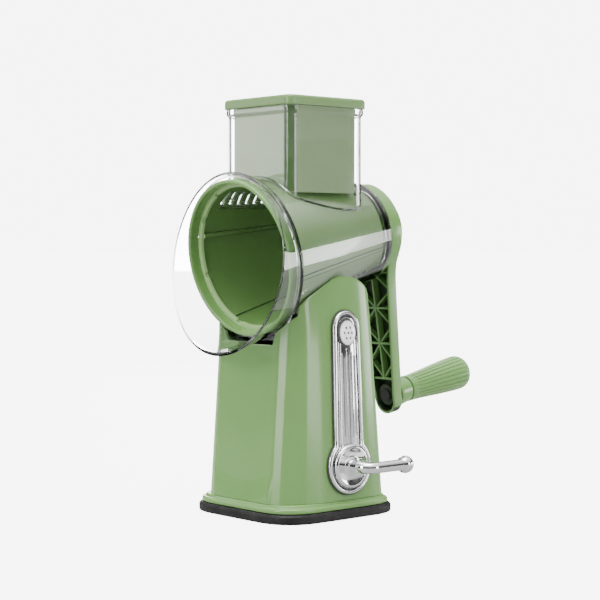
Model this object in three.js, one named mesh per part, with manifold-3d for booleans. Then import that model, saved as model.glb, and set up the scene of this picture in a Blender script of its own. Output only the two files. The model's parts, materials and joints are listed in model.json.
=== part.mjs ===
// A hand-cranked rotary cheese grater on a suction stand.
// Units are millimetres. +Z is up, the mouth faces -Y and the crank is at +Y.
// The origin is on the table, under the middle of the suction pad.
import * as THREE from "three";
import { mergeVertices } from "three/addons/utils/BufferGeometryUtils.js";
import Module from "manifold-3d";

const wasm = await Module();
wasm.setup();

// ---------- driving dimensions ----------
const gap = 0.35; // air between pieces that touch

// The drum axis passes through the mouth point and leans down towards the mouth.
const tilt = THREE.MathUtils.degToRad(9.68);
const mouthY = -51.3;
const mouthZ = 191.3;

// Clear housing: a cone round the drum, a feed chute on top, a flared mouth and a square foot.
const barrelRadius = 59.5; // outer radius at the mouth
const barrelSlope = 0.172; // radius lost for each millimetre towards the rear
const barrelLength = 117.6;
const clearWall = 2;
const collarDepth = 5;
const rearWallFront = 110.5;
const rearWallThickness = 3.5;
const lipTop = [-62.5, 254];
const lipBottom = [-76, 119.7];
const lipFlare = 3; // how much wider the lip is than the collar, to each side
const lipBow = 3.2; // how far the lip's two sides stand back from its top and bottom
const chuteHalf = 37.5;
const chuteCorner = 8;
const chuteTop = 302;
const chuteFlange = 1.6;
const chuteFlangeDepth = 4;
const footHalfWidth = 29;
const footFront = -39;
const footBack = 20;
const footBottom = 130.6;

// Drum
const drumClearance = 1.2;
const drumWall = 2.6;
const drumLength = 108;
const drumBackWall = 3.5;
const ringStep = 1.9; // how far the ring stands out past the drum
const ringWidth = 3;
const ringRoom = 1.6; // air round the ring, inside the barrel's collar
const ringFront = -5;
const bladeFirstAngle = 125; // degrees round the drum from +X, so one blade is near the top
const bladeCount = 2;
const bladeHalfWidth = 11.5;
const bladeStart = 14;
const bladeLength = 78;
const bladeThickness = 1;
const bladeSink = 0.9; // blade face below the drum's outside
const teethPerBlade = 11;
const toothHalfLength = 8.5; // round the drum
const toothThickness = 1.2;
const toothRise = 0.8; // how far a tooth stands out of its blade, still below the drum's outside
const toothSlant = THREE.MathUtils.degToRad(10);
const slotHalfWidth = 1.3;
const hubRadius = 7.6;
const hubFlangeRadius = 16;
const hubFlangeThickness = 3;
const spindleRadius = 4;
const bushRadius = 9.6;
const bushFlange = 1.6;
const washerRadius = 11;
const washerThickness = 1.2;

// Crank
const crankRadius = 133; // drum axis to grip axis
const headRadius = 36;
const headFront = 119.5;
const headWall = 2.5;
const armFront = 125;
const armBack = 134.5;
const armWall = 2;
const armEndRadius = 11;
const armTipDrop = 4; // how far the middle of the round end lies below the grip's axis
const armTopHalfWidth = 22;
const armTop = 20; // distance from the drum axis where the straight taper starts
const ribThickness = 1.6;
const ribHeight = 5;
const armRibs = [34, 62.5, 91, 119.5];
const capRadius = 27;
const capDepth = 9;
const gripCollarRadius = 11.5;
const gripStart = 149;
const gripLength = 68.3;
const gripSmall = 10.4;
const gripLarge = 13.8;
const gripPinRadius = 3;

// Pusher
const pusherClearance = 1;
const pusherWall = 2.2;
const pusherBottom = 239;
const pusherChamfer = 6;
const pusherDrumClearance = 1.8;
const capCorner = 6;
const capOverhang = 0.2;
const capThickness = 7.65;

// Stand: a tapered twelve-sided tower. Each section is [z, front corners, rear corners], and its
// corners are [x, y] on the right, from the front face round to the rear face.
const standWall = 2.6;
const standSections = [
  [13.35, [[38.3, -52.7], [50, -35], [54.2, -20]], [[54.2, 34], [50, 44], [38.3, 53]]],
  [125, [[38, -44.6], [47.2, -30], [49.3, -16]], [[49.3, 29], [46, 37.5], [36, 44.8]]],
  [182, [[46, -46], [46.8, -30], [46.8, -14]], [[46.8, 26], [43, 33], [34, 39.7]]],
];
const archPeak = [8, 177.6];
const archFrontZ = 148;
const archRearZ = 160;
const cradleClearance = 0.5;
const postRadius = 5;
const screwRadius = 2;
const screwHeadRadius = 4;
const screwHeadHeight = 2.3;

// Base
const baseHalf = 60;
const baseCorner = 30.5;
const padHeight = 7;
const padRimWidth = 12;
const padWeb = 3;
const padBossRadius = 15;
const padBossTop = 12.8;
const padLip = 2.4; // how far the pad shows beyond the base plate
const plateTop = 13;
const baseScrewX = 33;
const baseScrewY = 33;
const baseScrewLength = 17;

// Suction lever, its cam and the stem that pulls the pad up
const leverY = 6;
const leverZ = 38.2;
const leverStroke = 90; // degrees
const dialRadius = 16.3;
const dialThickness = 5;
const leverReach = 37; // shaft axis to the middle of the ball
const leverStandOff = 16; // dial face to the middle of the ball
const leverRodRadius = 4.2;
const ballRadius = 6.6;
const camShaftRadius = 4;
const camShaftEnd = -18;
const camRadius = 9;
const camThrow = 3; // also how far the stem rises
const camHalfWidth = 5;
const camRoom = 0.6; // air over the cam in its yoke
const camRoomBelow = 1.8;
const stemRadius = 5;
const stemHeadRadius = 10;
const stemHeadBottom = 6;
const stemHeadHeight = 3;
const yokeWall = 3.5;
const yokeHalfDepth = 4;
const bracketHalfSpan = 14;
const bracketWall = 3;
const bracketHalfWidth = 9;
const bracketFloor = 2;
const bracketLugY = 17;
const stemSpringRadius = 7.4;
const springWire = 0.6;

// Trim, release button and latch
const trimTop = 152.5;
const trimHalfTop = 12.8;
const trimRingRadius = 20.8;
const trimThickness = 3;
const trimRim = 3;
const inlayThickness = 1.8;
const buttonZ = 136;
const buttonHalfWidth = 7.4;
const buttonHalfHeight = 9;
const buttonProud = 2.6;
const buttonStemRadius = 4;
const latchHalfWidth = 5;
const latchBottom = 124.2;
const latchThickness = 3.2;
const latchRiser = 40;
const hookZ = 133;
const hookHeight = 3.5;
const hookBite = 1.4; // how far the hook reaches into the foot's slot
const trayThickness = 2.4;
const trayHalfWidth = 38;
const trayFront = -33;
const trayBack = 27;
const trayScrewX = 35;
const trayScrewY = 21;
const buttonSpringRadius = 6;

// ---------- materials ----------
const plain = (color, roughness, metalness = 0) =>
  new THREE.MeshStandardMaterial({ color, roughness, metalness });
const green = plain(0x93b77c, 0.3);
const darkGreen = plain(0x7ba364, 0.4);
const chrome = plain(0xe6e6e8, 0.08, 1);
const steel = plain(0xb9bcbe, 0.3, 1);
const rubber = plain(0x1a1a1a, 0.8);
const black = plain(0x2a2c2b, 0.5);
const clear = plain(0xeef3f1, 0.05);
clear.transparent = true;
clear.opacity = 0.3;

// ---------- solids ----------
// A three.js geometry as a manifold-3d solid, turned so that its faces point out.
function solid(geometry, matrix) {
  const flat = geometry.index ? geometry.toNonIndexed() : geometry;
  const bare = new THREE.BufferGeometry();
  bare.setAttribute("position", flat.getAttribute("position").clone());
  if (matrix) bare.applyMatrix4(matrix);
  const merged = mergeVertices(bare, 1e-3);
  const vertProperties = merged.attributes.position.array;
  const triVerts = new Uint32Array(merged.index.array);
  const made = new wasm.Manifold(new wasm.Mesh({ numProp: 3, vertProperties, triVerts }));
  if (made.volume() > 0) return made;
  for (let i = 0; i < triVerts.length; i += 3) {
    [triVerts[i + 1], triVerts[i + 2]] = [triVerts[i + 2], triVerts[i + 1]];
  }
  return new wasm.Manifold(new wasm.Mesh({ numProp: 3, vertProperties, triVerts }));
}

// A solid as a three.js geometry with flat shading.
function geometryOf(made) {
  const mesh = made.getMesh();
  const points = new Float32Array(mesh.triVerts.length * 3);
  mesh.triVerts.forEach((v, i) => {
    points.set(mesh.vertProperties.subarray(v * mesh.numProp, v * mesh.numProp + 3), i * 3);
  });
  const geometry = new THREE.BufferGeometry();
  geometry.setAttribute("position", new THREE.BufferAttribute(points, 3));
  geometry.computeVertexNormals();
  return geometry;
}

const union = (...solids) => solids.reduce((all, one) => all.add(one));
const cut = (body, ...tools) => tools.reduce((left, tool) => left.subtract(tool), body);
const moved = (made, matrix) => solid(geometryOf(made), matrix);

function box([x0, x1], [y0, y1], [z0, z1]) {
  const shape = new THREE.BoxGeometry(x1 - x0, y1 - y0, z1 - z0);
  return solid(shape.translate((x0 + x1) / 2, (y0 + y1) / 2, (z0 + z1) / 2));
}

// A round rod, or a cone, from one point to another.
function rod(from, to, radius, endRadius = radius, sides = 12) {
  const along = new THREE.Vector3(...to).sub(new THREE.Vector3(...from));
  const shape = new THREE.CylinderGeometry(endRadius, radius, along.length(), sides);
  const turn = new THREE.Quaternion().setFromUnitVectors(
    new THREE.Vector3(0, 1, 0),
    along.clone().normalize(),
  );
  const middle = new THREE.Vector3(...from).addScaledVector(along, 0.5);
  return solid(shape, new THREE.Matrix4().compose(middle, turn, new THREE.Vector3(1, 1, 1)));
}

const ball = ([x, y, z], radius, sides = 12) =>
  solid(new THREE.SphereGeometry(radius, sides, Math.round(sides * 0.7)).translate(x, y, z));

// A closed profile of [radius, distance along Y] turned round the Y axis.
function turned(profile, sides = 32) {
  const points = [...profile, profile[0]].map(([r, y]) => new THREE.Vector2(r, y));
  return solid(new THREE.LatheGeometry(points, sides));
}

// Closed rings of points, skinned one to the next. The last ring joins the first where the solid
// is hollow, and otherwise both ends are closed by flat fans.
function skinned(rings, hollow = false) {
  const count = rings[0].length;
  const faces = [];
  const steps = hollow ? rings.length : rings.length - 1;
  for (let r = 0; r < steps; r++) {
    const next = (r + 1) % rings.length;
    for (let i = 0; i < count; i++) {
      const j = (i + 1) % count;
      const [p, q, s, t] = [r * count + i, r * count + j, next * count + j, next * count + i];
      faces.push(p, q, s, p, s, t);
    }
  }
  const top = steps * count;
  for (let i = 1; !hollow && i < count - 1; i++) {
    faces.push(0, i + 1, i, top, top + i, top + i + 1);
  }
  const geometry = new THREE.BufferGeometry();
  geometry.setFromPoints(rings.flat().map((p) => new THREE.Vector3(...p)));
  geometry.setIndex(faces);
  return solid(geometry);
}

// A flat shape drawn in X and Y and pulled up from z0 to z1.
function pulled(shape, z0, z1, curveSegments = 4) {
  const options = { depth: z1 - z0, bevelEnabled: false, curveSegments };
  return solid(new THREE.ExtrudeGeometry(shape, options).translate(0, 0, z0));
}

function roundedSquare(half, corner) {
  const s = new THREE.Shape();
  const c = half - corner;
  s.moveTo(half, -c);
  s.absarc(c, c, corner, 0, Math.PI / 2);
  s.absarc(-c, c, corner, Math.PI / 2, Math.PI);
  s.absarc(-c, -c, corner, Math.PI, Math.PI * 1.5);
  s.absarc(c, -c, corner, Math.PI * 1.5, Math.PI * 2);
  return s;
}

// A coil spring of round wire standing on z0, with open ends.
function coil(radius, wire, z0, z1, turns) {
  class Helix extends THREE.Curve {
    getPoint(t, target = new THREE.Vector3()) {
      const a = t * turns * Math.PI * 2;
      const z = THREE.MathUtils.lerp(z0 + wire, z1 - wire, t);
      return target.set(radius * Math.cos(a), radius * Math.sin(a), z);
    }
  }
  const section = new THREE.Shape();
  section.absarc(0, 0, wire, 0, Math.PI * 2);
  const options = { steps: turns * 10, extrudePath: new Helix(), curveSegments: 3 };
  return solid(new THREE.ExtrudeGeometry(section, options));
}

// ---------- frames ----------
const grater = new THREE.Group();
const barrelFrame = new THREE.Group(); // +Y runs along the drum axis, from the mouth to the crank
barrelFrame.position.set(0, mouthY, mouthZ);
barrelFrame.rotation.x = tilt;
barrelFrame.updateMatrix();
grater.add(barrelFrame);
const toWorld = barrelFrame.matrix;
const toBarrel = toWorld.clone().invert();

function addPiece(name, made, material, frame = grater) {
  const mesh = new THREE.Mesh(geometryOf(made), material);
  mesh.name = name;
  frame.add(mesh);
}

// ---------- radii along the drum axis ----------
const barrelOuter = (s) => barrelRadius - barrelSlope * s;
const barrelInner = (s) => barrelOuter(s) - clearWall;
const drumOuter = (s) => barrelInner(s) - drumClearance;
const ringRadius = drumOuter(0) + ringStep;
const ringInner = ringRadius - ringWidth;
const collarRadius = ringRadius + ringRoom + clearWall;

// A solid cone on the drum axis, larger than the given radius by some amount.
function axisCone(radiusAt, extra, s0, s1) {
  return turned([[0, s0], [radiusAt(s0) + extra, s0], [radiusAt(s1) + extra, s1], [0, s1]]);
}

// ---------- clear housing ----------
// One ring of the flared mouth, in the barrel's frame: share 0 is the collar and 1 is the lip.
function mouthRing(share, inset) {
  const [topY, topZ] = lipTop;
  const [bottomY, bottomZ] = lipBottom;
  const up = new THREE.Vector3(0, topY - bottomY, topZ - bottomZ);
  const halfHeight = up.length() / 2 - inset;
  const centre = new THREE.Vector3(0, (topY + bottomY) / 2, (topZ + bottomZ) / 2);
  up.normalize();
  const widening = 0.45 * share + 0.55 * share * share;
  const radius = collarRadius - inset;
  const sides = 32;
  return Array.from({ length: sides }, (_, i) => {
    const a = (i / sides) * Math.PI * 2;
    const lip = centre.clone().addScaledVector(up, halfHeight * Math.sin(a));
    lip.x = (collarRadius + lipFlare - inset) * Math.cos(a);
    lip.y += lipBow * Math.cos(a) ** 2;
    lip.applyMatrix4(toBarrel);
    return [
      THREE.MathUtils.lerp(radius * Math.cos(a), lip.x, widening),
      THREE.MathUtils.lerp(0.6, lip.y, share),
      THREE.MathUtils.lerp(radius * Math.sin(a), lip.z, widening),
    ];
  });
}

// The barrel with its collar and rear wall, and the room inside it, in the barrel's frame.
function barrelShell() {
  const shoulder = collarDepth + 3;
  const outside = turned([
    [0, 0],
    [collarRadius, 0],
    [collarRadius, collarDepth],
    [barrelOuter(shoulder), shoulder],
    [barrelOuter(barrelLength), barrelLength],
    [0, barrelLength],
  ]);
  const room = turned([
    [0, -1],
    [collarRadius - clearWall, -1],
    [collarRadius - clearWall, collarDepth - clearWall],
    [barrelInner(shoulder - clearWall), shoulder - clearWall],
    [barrelInner(rearWallFront), rearWallFront],
    [0, rearWallFront],
  ]);
  const recess = axisCone(barrelInner, 0, rearWallFront + rearWallThickness, barrelLength + 1);
  const bore = rod([0, rearWallFront - 1, 0], [0, barrelLength + 1, 0], bushRadius + gap);
  return { outside, inside: union(room, recess, bore) };
}

function makeHousing() {
  const barrel = barrelShell();
  const outside = moved(barrel.outside, toWorld);
  const inside = moved(barrel.inside, toWorld);
  const chute = pulled(roundedSquare(chuteHalf, chuteCorner), mouthZ, chuteTop);
  const flange = pulled(
    roundedSquare(chuteHalf + chuteFlange, chuteCorner + chuteFlange),
    chuteTop - chuteFlangeDepth,
    chuteTop,
  );
  const throat = pulled(
    roundedSquare(chuteHalf - clearWall, chuteCorner - clearWall),
    mouthZ + 20,
    chuteTop + 1,
  );
  const wallY = [footFront + clearWall, footBack - clearWall];
  const wallX = footHalfWidth - clearWall;
  const foot = box([-footHalfWidth, footHalfWidth], [footFront, footBack], [footBottom, mouthZ]);
  const footRoom = cut(box([-wallX, wallX], wallY, [footBottom - 1, mouthZ]), outside);
  const slot = box(
    [wallX - 1, footHalfWidth + 1],
    [leverY - latchHalfWidth - 1, leverY + latchHalfWidth + 1],
    [hookZ - 1, hookZ + hookHeight + 1],
  );
  const body = cut(union(outside, chute, flange, foot), inside, throat, footRoom, slot);
  const rings = [0, 0.5, 1].map((share) => mouthRing(share, 0));
  const innerRings = [1, 0.5, 0].map((share) => mouthRing(share, clearWall));
  return union(body, moved(skinned([...rings, ...innerRings], true), toWorld));
}

// ---------- stand ----------
// The corners of one section of the tower, moved inwards by some distance.
function towerRing([z, front, rear], inset) {
  const right = [...front, ...rear];
  const middleY = (right[0][1] + right[5][1]) / 2;
  const halfDepth = (right[5][1] - right[0][1]) / 2;
  const scaleX = 1 - inset / right[2][0];
  const scaleY = 1 - inset / halfDepth;
  const left = right.map(([x, y]) => [-x, y]).reverse();
  return [...right, ...left].map(([x, y]) => [x * scaleX, middleY + (y - middleY) * scaleY, z]);
}

const tower = (inset, rise = 0) =>
  skinned(standSections.map(([z, ...rest], i) => towerRing([i ? z : z - rise, ...rest], inset)));

// The half-width of the tower's flat side at height z.
function sideX(z) {
  const [[z0, [, , [x0]]], [z1, [, , [x1]]]] = standSections;
  return THREE.MathUtils.mapLinear(z, z0, z1, x0, x1);
}

// Everything below the arch that the tower's top follows, seen from the side.
function belowArch(drop) {
  const [peakY, peakZ] = archPeak;
  const s = new THREE.Shape();
  s.moveTo(-90, 0);
  s.lineTo(90, 0);
  s.lineTo(90, archRearZ - drop);
  s.lineTo(44, archRearZ - drop);
  s.quadraticCurveTo(32, peakZ - drop, peakY, peakZ - drop);
  s.quadraticCurveTo(-34, peakZ - 6 - drop, -50, archFrontZ - drop);
  s.lineTo(-90, archFrontZ - drop);
  const slab = new THREE.ExtrudeGeometry(s, { depth: 160, bevelEnabled: false, curveSegments: 7 });
  const stand = new THREE.Matrix4().set(0, 0, 1, -80, 1, 0, 0, 0, 0, 1, 0, 0, 0, 0, 0, 1);
  return solid(slab, stand);
}

// The hollow that the housing's barrel and collar lie in, larger by some amount.
function cradle(extra) {
  const collar = turned([
    [0, -40],
    [collarRadius + extra, -40],
    [collarRadius + extra, collarDepth + 4],
    [0, collarDepth + 4],
  ]);
  return moved(union(axisCone(barrelOuter, extra, -40, 150), collar), toWorld);
}

const baseScrews = [[-1, -1], [1, -1], [1, 1], [-1, 1]].map(([i, j]) => [
  i * baseScrewX,
  j * baseScrewY,
]);
const trayScrews = [-trayScrewX, trayScrewX].map((x) => [x, trayScrewY]);
const trayTop = latchBottom - gap;

function makeStand() {
  const outside = cut(tower(0).intersect(belowArch(0)), cradle(cradleClearance));
  const inside = cut(
    tower(standWall, 1).intersect(belowArch(standWall)),
    cradle(cradleClearance + standWall),
  );
  const footX = footHalfWidth + 2 * gap;
  const pocket = box([-footX, footX], [-90, footBack + 2 * gap], [footBottom - 2.6, mouthZ]);
  const shaftHole = rod([30, leverY, leverZ], [80, leverY, leverZ], camShaftRadius + 2 * gap);
  const buttonWay = moved(oval(buttonHalfWidth + gap, buttonHalfHeight + gap, -9, 20), toSide);
  const standBottom = standSections[0][0];
  const basePosts = baseScrews.map(([x, y]) =>
    union(
      rod([x, y, standBottom], [x, y, standBottom + 22], postRadius),
      box([x - 1.2, x + 1.2], [Math.min(y, y * 1.5), Math.max(y, y * 1.5)], [standBottom + 1, 34])
        .intersect(tower(1)),
    ),
  );
  const trayPosts = trayScrews.map(([x, y]) =>
    rod([x, y, trayTop + gap], [x, y, 175], postRadius)
      .intersect(belowArch(1))
      .subtract(cradle(1)),
  );
  const holes = [
    ...baseScrews.map(([x, y]) => [x, y, standBottom]),
    ...trayScrews.map(([x, y]) => [x, y, trayTop]),
  ].map(([x, y, z]) => rod([x, y, z - 1], [x, y, z + baseScrewLength], screwRadius + gap));
  const shell = cut(outside, inside, pocket, shaftHole, buttonWay);
  return cut(union(shell, ...basePosts, ...trayPosts), ...holes);
}

// A pan-head screw that points up from its head.
function screw(x, y, headZ, length) {
  return union(
    rod([x, y, headZ], [x, y, headZ + screwHeadHeight], screwHeadRadius),
    rod([x, y, headZ + screwHeadHeight - 0.1], [x, y, headZ + length], screwRadius),
  );
}

function makeTray() {
  const plate = box(
    [-trayHalfWidth, trayHalfWidth],
    [trayFront, trayBack],
    [trayTop - trayThickness, trayTop],
  );
  const railX = [footHalfWidth - 4, footHalfWidth];
  const railZ = [trayTop - 0.1, footBottom - gap];
  const rails = [-1, 1].flatMap((side) =>
    [[trayFront, leverY - latchHalfWidth - 2], [leverY + latchHalfWidth + 2, footBack - 4]].map(
      (y) => box(railX.map((x) => x * side).sort((a, b) => a - b), y, railZ),
    ),
  );
  const stopY = [leverY - buttonSpringRadius - 3, leverY + buttonSpringRadius + 3];
  const stop = box([footHalfWidth + 2, footHalfWidth + 4], stopY, [trayTop - 0.1, buttonZ + 8]);
  const way = box(
    [footHalfWidth, footHalfWidth + 6],
    [leverY - latchHalfWidth - gap, leverY + latchHalfWidth + gap],
    [trayTop - 1, latchBottom + latchThickness + gap],
  );
  const ears = trayScrews.map(([x, y]) =>
    rod([x, y, trayTop - trayThickness], [x, y, trayTop], postRadius + 1),
  );
  const holes = trayScrews.map(([x, y]) =>
    rod([x, y, trayTop - 9], [x, y, trayTop + 1], screwRadius + gap),
  );
  return cut(union(plate, ...rails, cut(stop, way), ...ears), ...holes);
}

// ---------- base and suction pad ----------
function makePad() {
  const body = pulled(roundedSquare(baseHalf, baseCorner), 0, padHeight);
  const well = pulled(
    roundedSquare(baseHalf - padRimWidth, baseCorner - padRimWidth),
    padWeb,
    padHeight + 1,
  );
  const at = (z) => [0, leverY, z];
  const boss = rod(at(padWeb - 0.1), at(padBossTop), padBossRadius, padBossRadius, 24);
  const socket = rod(
    at(stemHeadBottom - gap),
    at(stemHeadBottom + stemHeadHeight + gap),
    stemHeadRadius + gap,
  );
  const neck = rod(at(stemHeadBottom), at(padBossTop + 1), stemRadius + gap);
  return cut(union(cut(body, well), boss), socket, neck);
}

function makePlate() {
  const bottom = padHeight + gap;
  const plate = pulled(roundedSquare(baseHalf - padLip, baseCorner - padLip), bottom, plateTop);
  const middle = rod([0, leverY, 0], [0, leverY, 30], padBossRadius + 1.5, undefined, 24);
  const holes = baseScrews.flatMap(([x, y]) => [
    rod([x, y, 0], [x, y, 30], screwRadius + gap),
    rod([x, y, 0], [x, y, bottom + screwHeadHeight + 2 * gap], screwHeadRadius + gap),
  ]);
  const lugHoles = bracketScrews.map(([x, y]) =>
    rod([x, y, plateTop - 4], [x, y, 30], screwRadius + gap),
  );
  return cut(plate, middle, ...holes, ...lugHoles);
}

// ---------- suction lever ----------
const bracketBottom = plateTop + gap;
const bracketScrews = [-1, 1].flatMap((i) =>
  [-1, 1].map((j) => [i * (bracketHalfSpan - 1), leverY + j * bracketLugY]),
);

function makeBracket() {
  const outer = bracketHalfSpan + bracketWall;
  const floor = box(
    [-outer, outer],
    [leverY - bracketLugY - 5, leverY + bracketLugY + 5],
    [bracketBottom, bracketBottom + bracketFloor],
  );
  const ears = [-outer, bracketHalfSpan].map((x) =>
    box(
      [x, x + bracketWall],
      [leverY - bracketHalfWidth, leverY + bracketHalfWidth],
      [bracketBottom, leverZ + camShaftRadius + 5],
    ),
  );
  const bore = rod([-30, leverY, leverZ], [30, leverY, leverZ], camShaftRadius + gap);
  const hole = rod([0, leverY, 0], [0, leverY, 20], stemRadius + 2 * gap);
  const lugs = bracketScrews.map(([x, y]) => rod([x, y, 0], [x, y, 20], screwRadius + gap));
  return cut(union(floor, ...ears), bore, hole, ...lugs);
}

const dialInner = sideX(leverZ - dialRadius) + gap; // clear of the side's wider foot
const dialOuter = dialInner + dialThickness;

function makeDial() {
  const bevel = 1.2;
  const at = (x) => [x, leverY, leverZ];
  return union(
    rod(at(dialInner), at(dialOuter - bevel), dialRadius, undefined, 32),
    rod(at(dialOuter - bevel), at(dialOuter), dialRadius, dialRadius - bevel, 32),
  );
}

// A stub straight out of the dial, a bend, and a rod towards the rear that ends in a ball.
function makeLeverArm() {
  const start = dialOuter + gap;
  const x = dialOuter + leverStandOff;
  const bend = 7;
  const corner = new THREE.Vector3(x, leverY, leverZ);
  const path = new THREE.CurvePath();
  const [from, before, after, end] = [
    [start, leverY],
    [x - bend, leverY],
    [x, leverY + bend],
    [x, leverY + leverReach],
  ].map(([px, py]) => new THREE.Vector3(px, py, leverZ));
  path.add(new THREE.LineCurve3(from, before));
  path.add(new THREE.QuadraticBezierCurve3(before, corner, after));
  path.add(new THREE.LineCurve3(after, end));
  const section = new THREE.Shape();
  section.absarc(0, 0, leverRodRadius, 0, Math.PI * 2);
  const tube = new THREE.ExtrudeGeometry(section, { steps: 16, extrudePath: path, curveSegments: 4 });
  const foot = rod([start, leverY, leverZ], [start + 4, leverY, leverZ], leverRodRadius + 3, leverRodRadius);
  return union(foot, solid(tube), ball(end.toArray(), ballRadius));
}

const makeCamShaft = () =>
  rod([camShaftEnd, leverY, leverZ], [dialInner - gap, leverY, leverZ], camShaftRadius);

function makeCam() {
  const at = (x, drop) => [x, leverY, leverZ - drop];
  return cut(
    rod(at(-camHalfWidth, camThrow), at(camHalfWidth, camThrow), camRadius, undefined, 24),
    rod(at(-20, 0), at(20, 0), camShaftRadius + gap),
  );
}

function makeShaftClip() {
  const x = camShaftEnd - gap;
  return rod([x - 1.5, leverY, leverZ], [x, leverY, leverZ], camShaftRadius + 3);
}

const yokeTop = leverZ + camRadius - camThrow + camRoom;
const yokeBottom = leverZ - camRadius - camThrow - camRoomBelow;
const yokeHalfWidth = camRadius + camThrow + camRoom;

function makeStem() {
  const outer = box(
    [-yokeHalfDepth, yokeHalfDepth],
    [leverY - yokeHalfWidth - yokeWall, leverY + yokeHalfWidth + yokeWall],
    [yokeBottom - yokeWall, yokeTop + yokeWall],
  );
  const room = box(
    [-20, 20],
    [leverY - yokeHalfWidth, leverY + yokeHalfWidth],
    [yokeBottom, yokeTop],
  );
  const at = (z) => [0, leverY, z];
  return union(
    cut(outer, room),
    rod(at(stemHeadBottom), at(yokeBottom - 1), stemRadius),
    rod(at(stemHeadBottom), at(stemHeadBottom + stemHeadHeight), stemHeadRadius),
  );
}

const makeStemSpring = () =>
  moved(
    coil(
      stemSpringRadius,
      springWire,
      bracketBottom + bracketFloor + gap,
      yokeBottom - yokeWall - gap,
      3,
    ),
    new THREE.Matrix4().makeTranslation(0, leverY, 0),
  );

// ---------- trim and release button, in a frame on the tower's sloping side ----------
const sideFrame = new THREE.Group(); // +X points out of the side, +Z runs up it
sideFrame.position.set(sideX(leverZ), leverY, leverZ);
sideFrame.rotation.y = -Math.atan2(sideX(leverZ) - sideX(trimTop), trimTop - leverZ);
sideFrame.updateMatrix();
grater.add(sideFrame);
const toSide = sideFrame.matrix;
const trimRise = trimTop - leverZ;
const buttonRise = buttonZ - leverZ;

// Makes a shape drawn in Y and Z stand out along X.
const standOut = new THREE.Matrix4().set(0, 0, 1, 0, 1, 0, 0, 0, 0, 1, 0, 0, 0, 0, 0, 1);

// A keyhole outline: a ring round the dial and a long tongue with a round top.
function keyhole(inset, x0, x1) {
  const r = trimRingRadius - inset;
  const half = trimHalfTop - inset;
  const a = Math.acos(half / r) * 0.9;
  const s = new THREE.Shape();
  s.absarc(0, 0, r, Math.PI - a, a + Math.PI * 2);
  s.absarc(0, trimRise - trimHalfTop, half, 0, Math.PI);
  return moved(pulled(s, x0, x1, 12), standOut);
}

function oval(halfWidth, halfHeight, x0, x1) {
  const s = new THREE.Shape();
  s.absellipse(0, buttonRise, halfWidth, halfHeight, 0, Math.PI * 2);
  return moved(pulled(s, x0, x1, 12), standOut);
}

const dialHole = () => rod([-9, 0, 0], [20, 0, 0], dialRadius + 2 * gap, undefined, 32);
const buttonHole = () => oval(buttonHalfWidth + gap, buttonHalfHeight + gap, -9, 20);

function makeTrimFrame() {
  return cut(keyhole(0, gap, gap + trimThickness), keyhole(trimRim, -9, 20), dialHole());
}

function makeTrimInlay() {
  const plate = keyhole(trimRim + gap, gap, gap + inlayThickness);
  const grooves = [-4.2, 0, 4.2].map((y) =>
    box([gap + inlayThickness - 0.8, 20], [y - 0.8, y + 0.8], [dialRadius + 6, buttonRise - 16]),
  );
  return cut(plate, dialHole(), buttonHole(), ...grooves);
}

const makeButton = () =>
  union(
    oval(buttonHalfWidth, buttonHalfHeight, gap, gap + inlayThickness + buttonProud),
    rod(
      [latchRiser + 3 + gap - sideX(buttonZ), 0, buttonRise],
      [gap + 1, 0, buttonRise],
      buttonStemRadius,
    ),
  );

const makeButtonSpring = () => {
  const x0 = footHalfWidth + 4 + gap;
  const spring = coil(buttonSpringRadius, springWire, 0, latchRiser - gap - x0, 3);
  const lie = new THREE.Matrix4().makeRotationY(Math.PI / 2);
  return moved(spring, lie.premultiply(new THREE.Matrix4().makeTranslation(x0, leverY, buttonZ)));
};

// A flat bar under the housing's foot. Its hook reaches up inside the foot and out into the
// slot in the foot's wall, so pushing the bar in lets the housing go.
function makeLatchBar() {
  const y = [leverY - latchHalfWidth, leverY + latchHalfWidth];
  const inner = footHalfWidth - clearWall - 7;
  const barTop = latchBottom + latchThickness;
  return union(
    box([inner, latchRiser + 3], y, [latchBottom, barTop]),
    box([inner, inner + 3.5], y, [latchBottom, hookZ + hookHeight]),
    box([inner, footHalfWidth - clearWall + hookBite], y, [hookZ, hookZ + hookHeight]),
    box([latchRiser, latchRiser + 3], y, [latchBottom, buttonZ + 6]),
  );
}

// ---------- drum ----------
const bladeAngles = Array.from({ length: bladeCount }, (_, i) =>
  THREE.MathUtils.degToRad(bladeFirstAngle + (i * 360) / bladeCount),
);

// A box over one blade, in the barrel's frame, grown by some amount on its four edges.
function overBlade(angle, grow) {
  const piece = box(
    [10, 90],
    [bladeStart - grow, bladeStart + bladeLength + grow],
    [-bladeHalfWidth - grow, bladeHalfWidth + grow],
  );
  return moved(piece, new THREE.Matrix4().makeRotationY(-angle));
}

function makeDrumShell() {
  const back = drumLength - drumBackWall;
  const inner = (s) => drumOuter(s) - drumWall;
  const start = gap + 0.6;
  const shell = turned([
    [hubRadius + gap, back],
    [inner(back), back],
    [inner(start), start],
    [drumOuter(start), start],
    [drumOuter(drumLength), drumLength],
    [hubRadius + gap, drumLength],
  ]);
  return cut(shell, ...bladeAngles.map((angle) => overBlade(angle, gap)));
}

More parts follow.
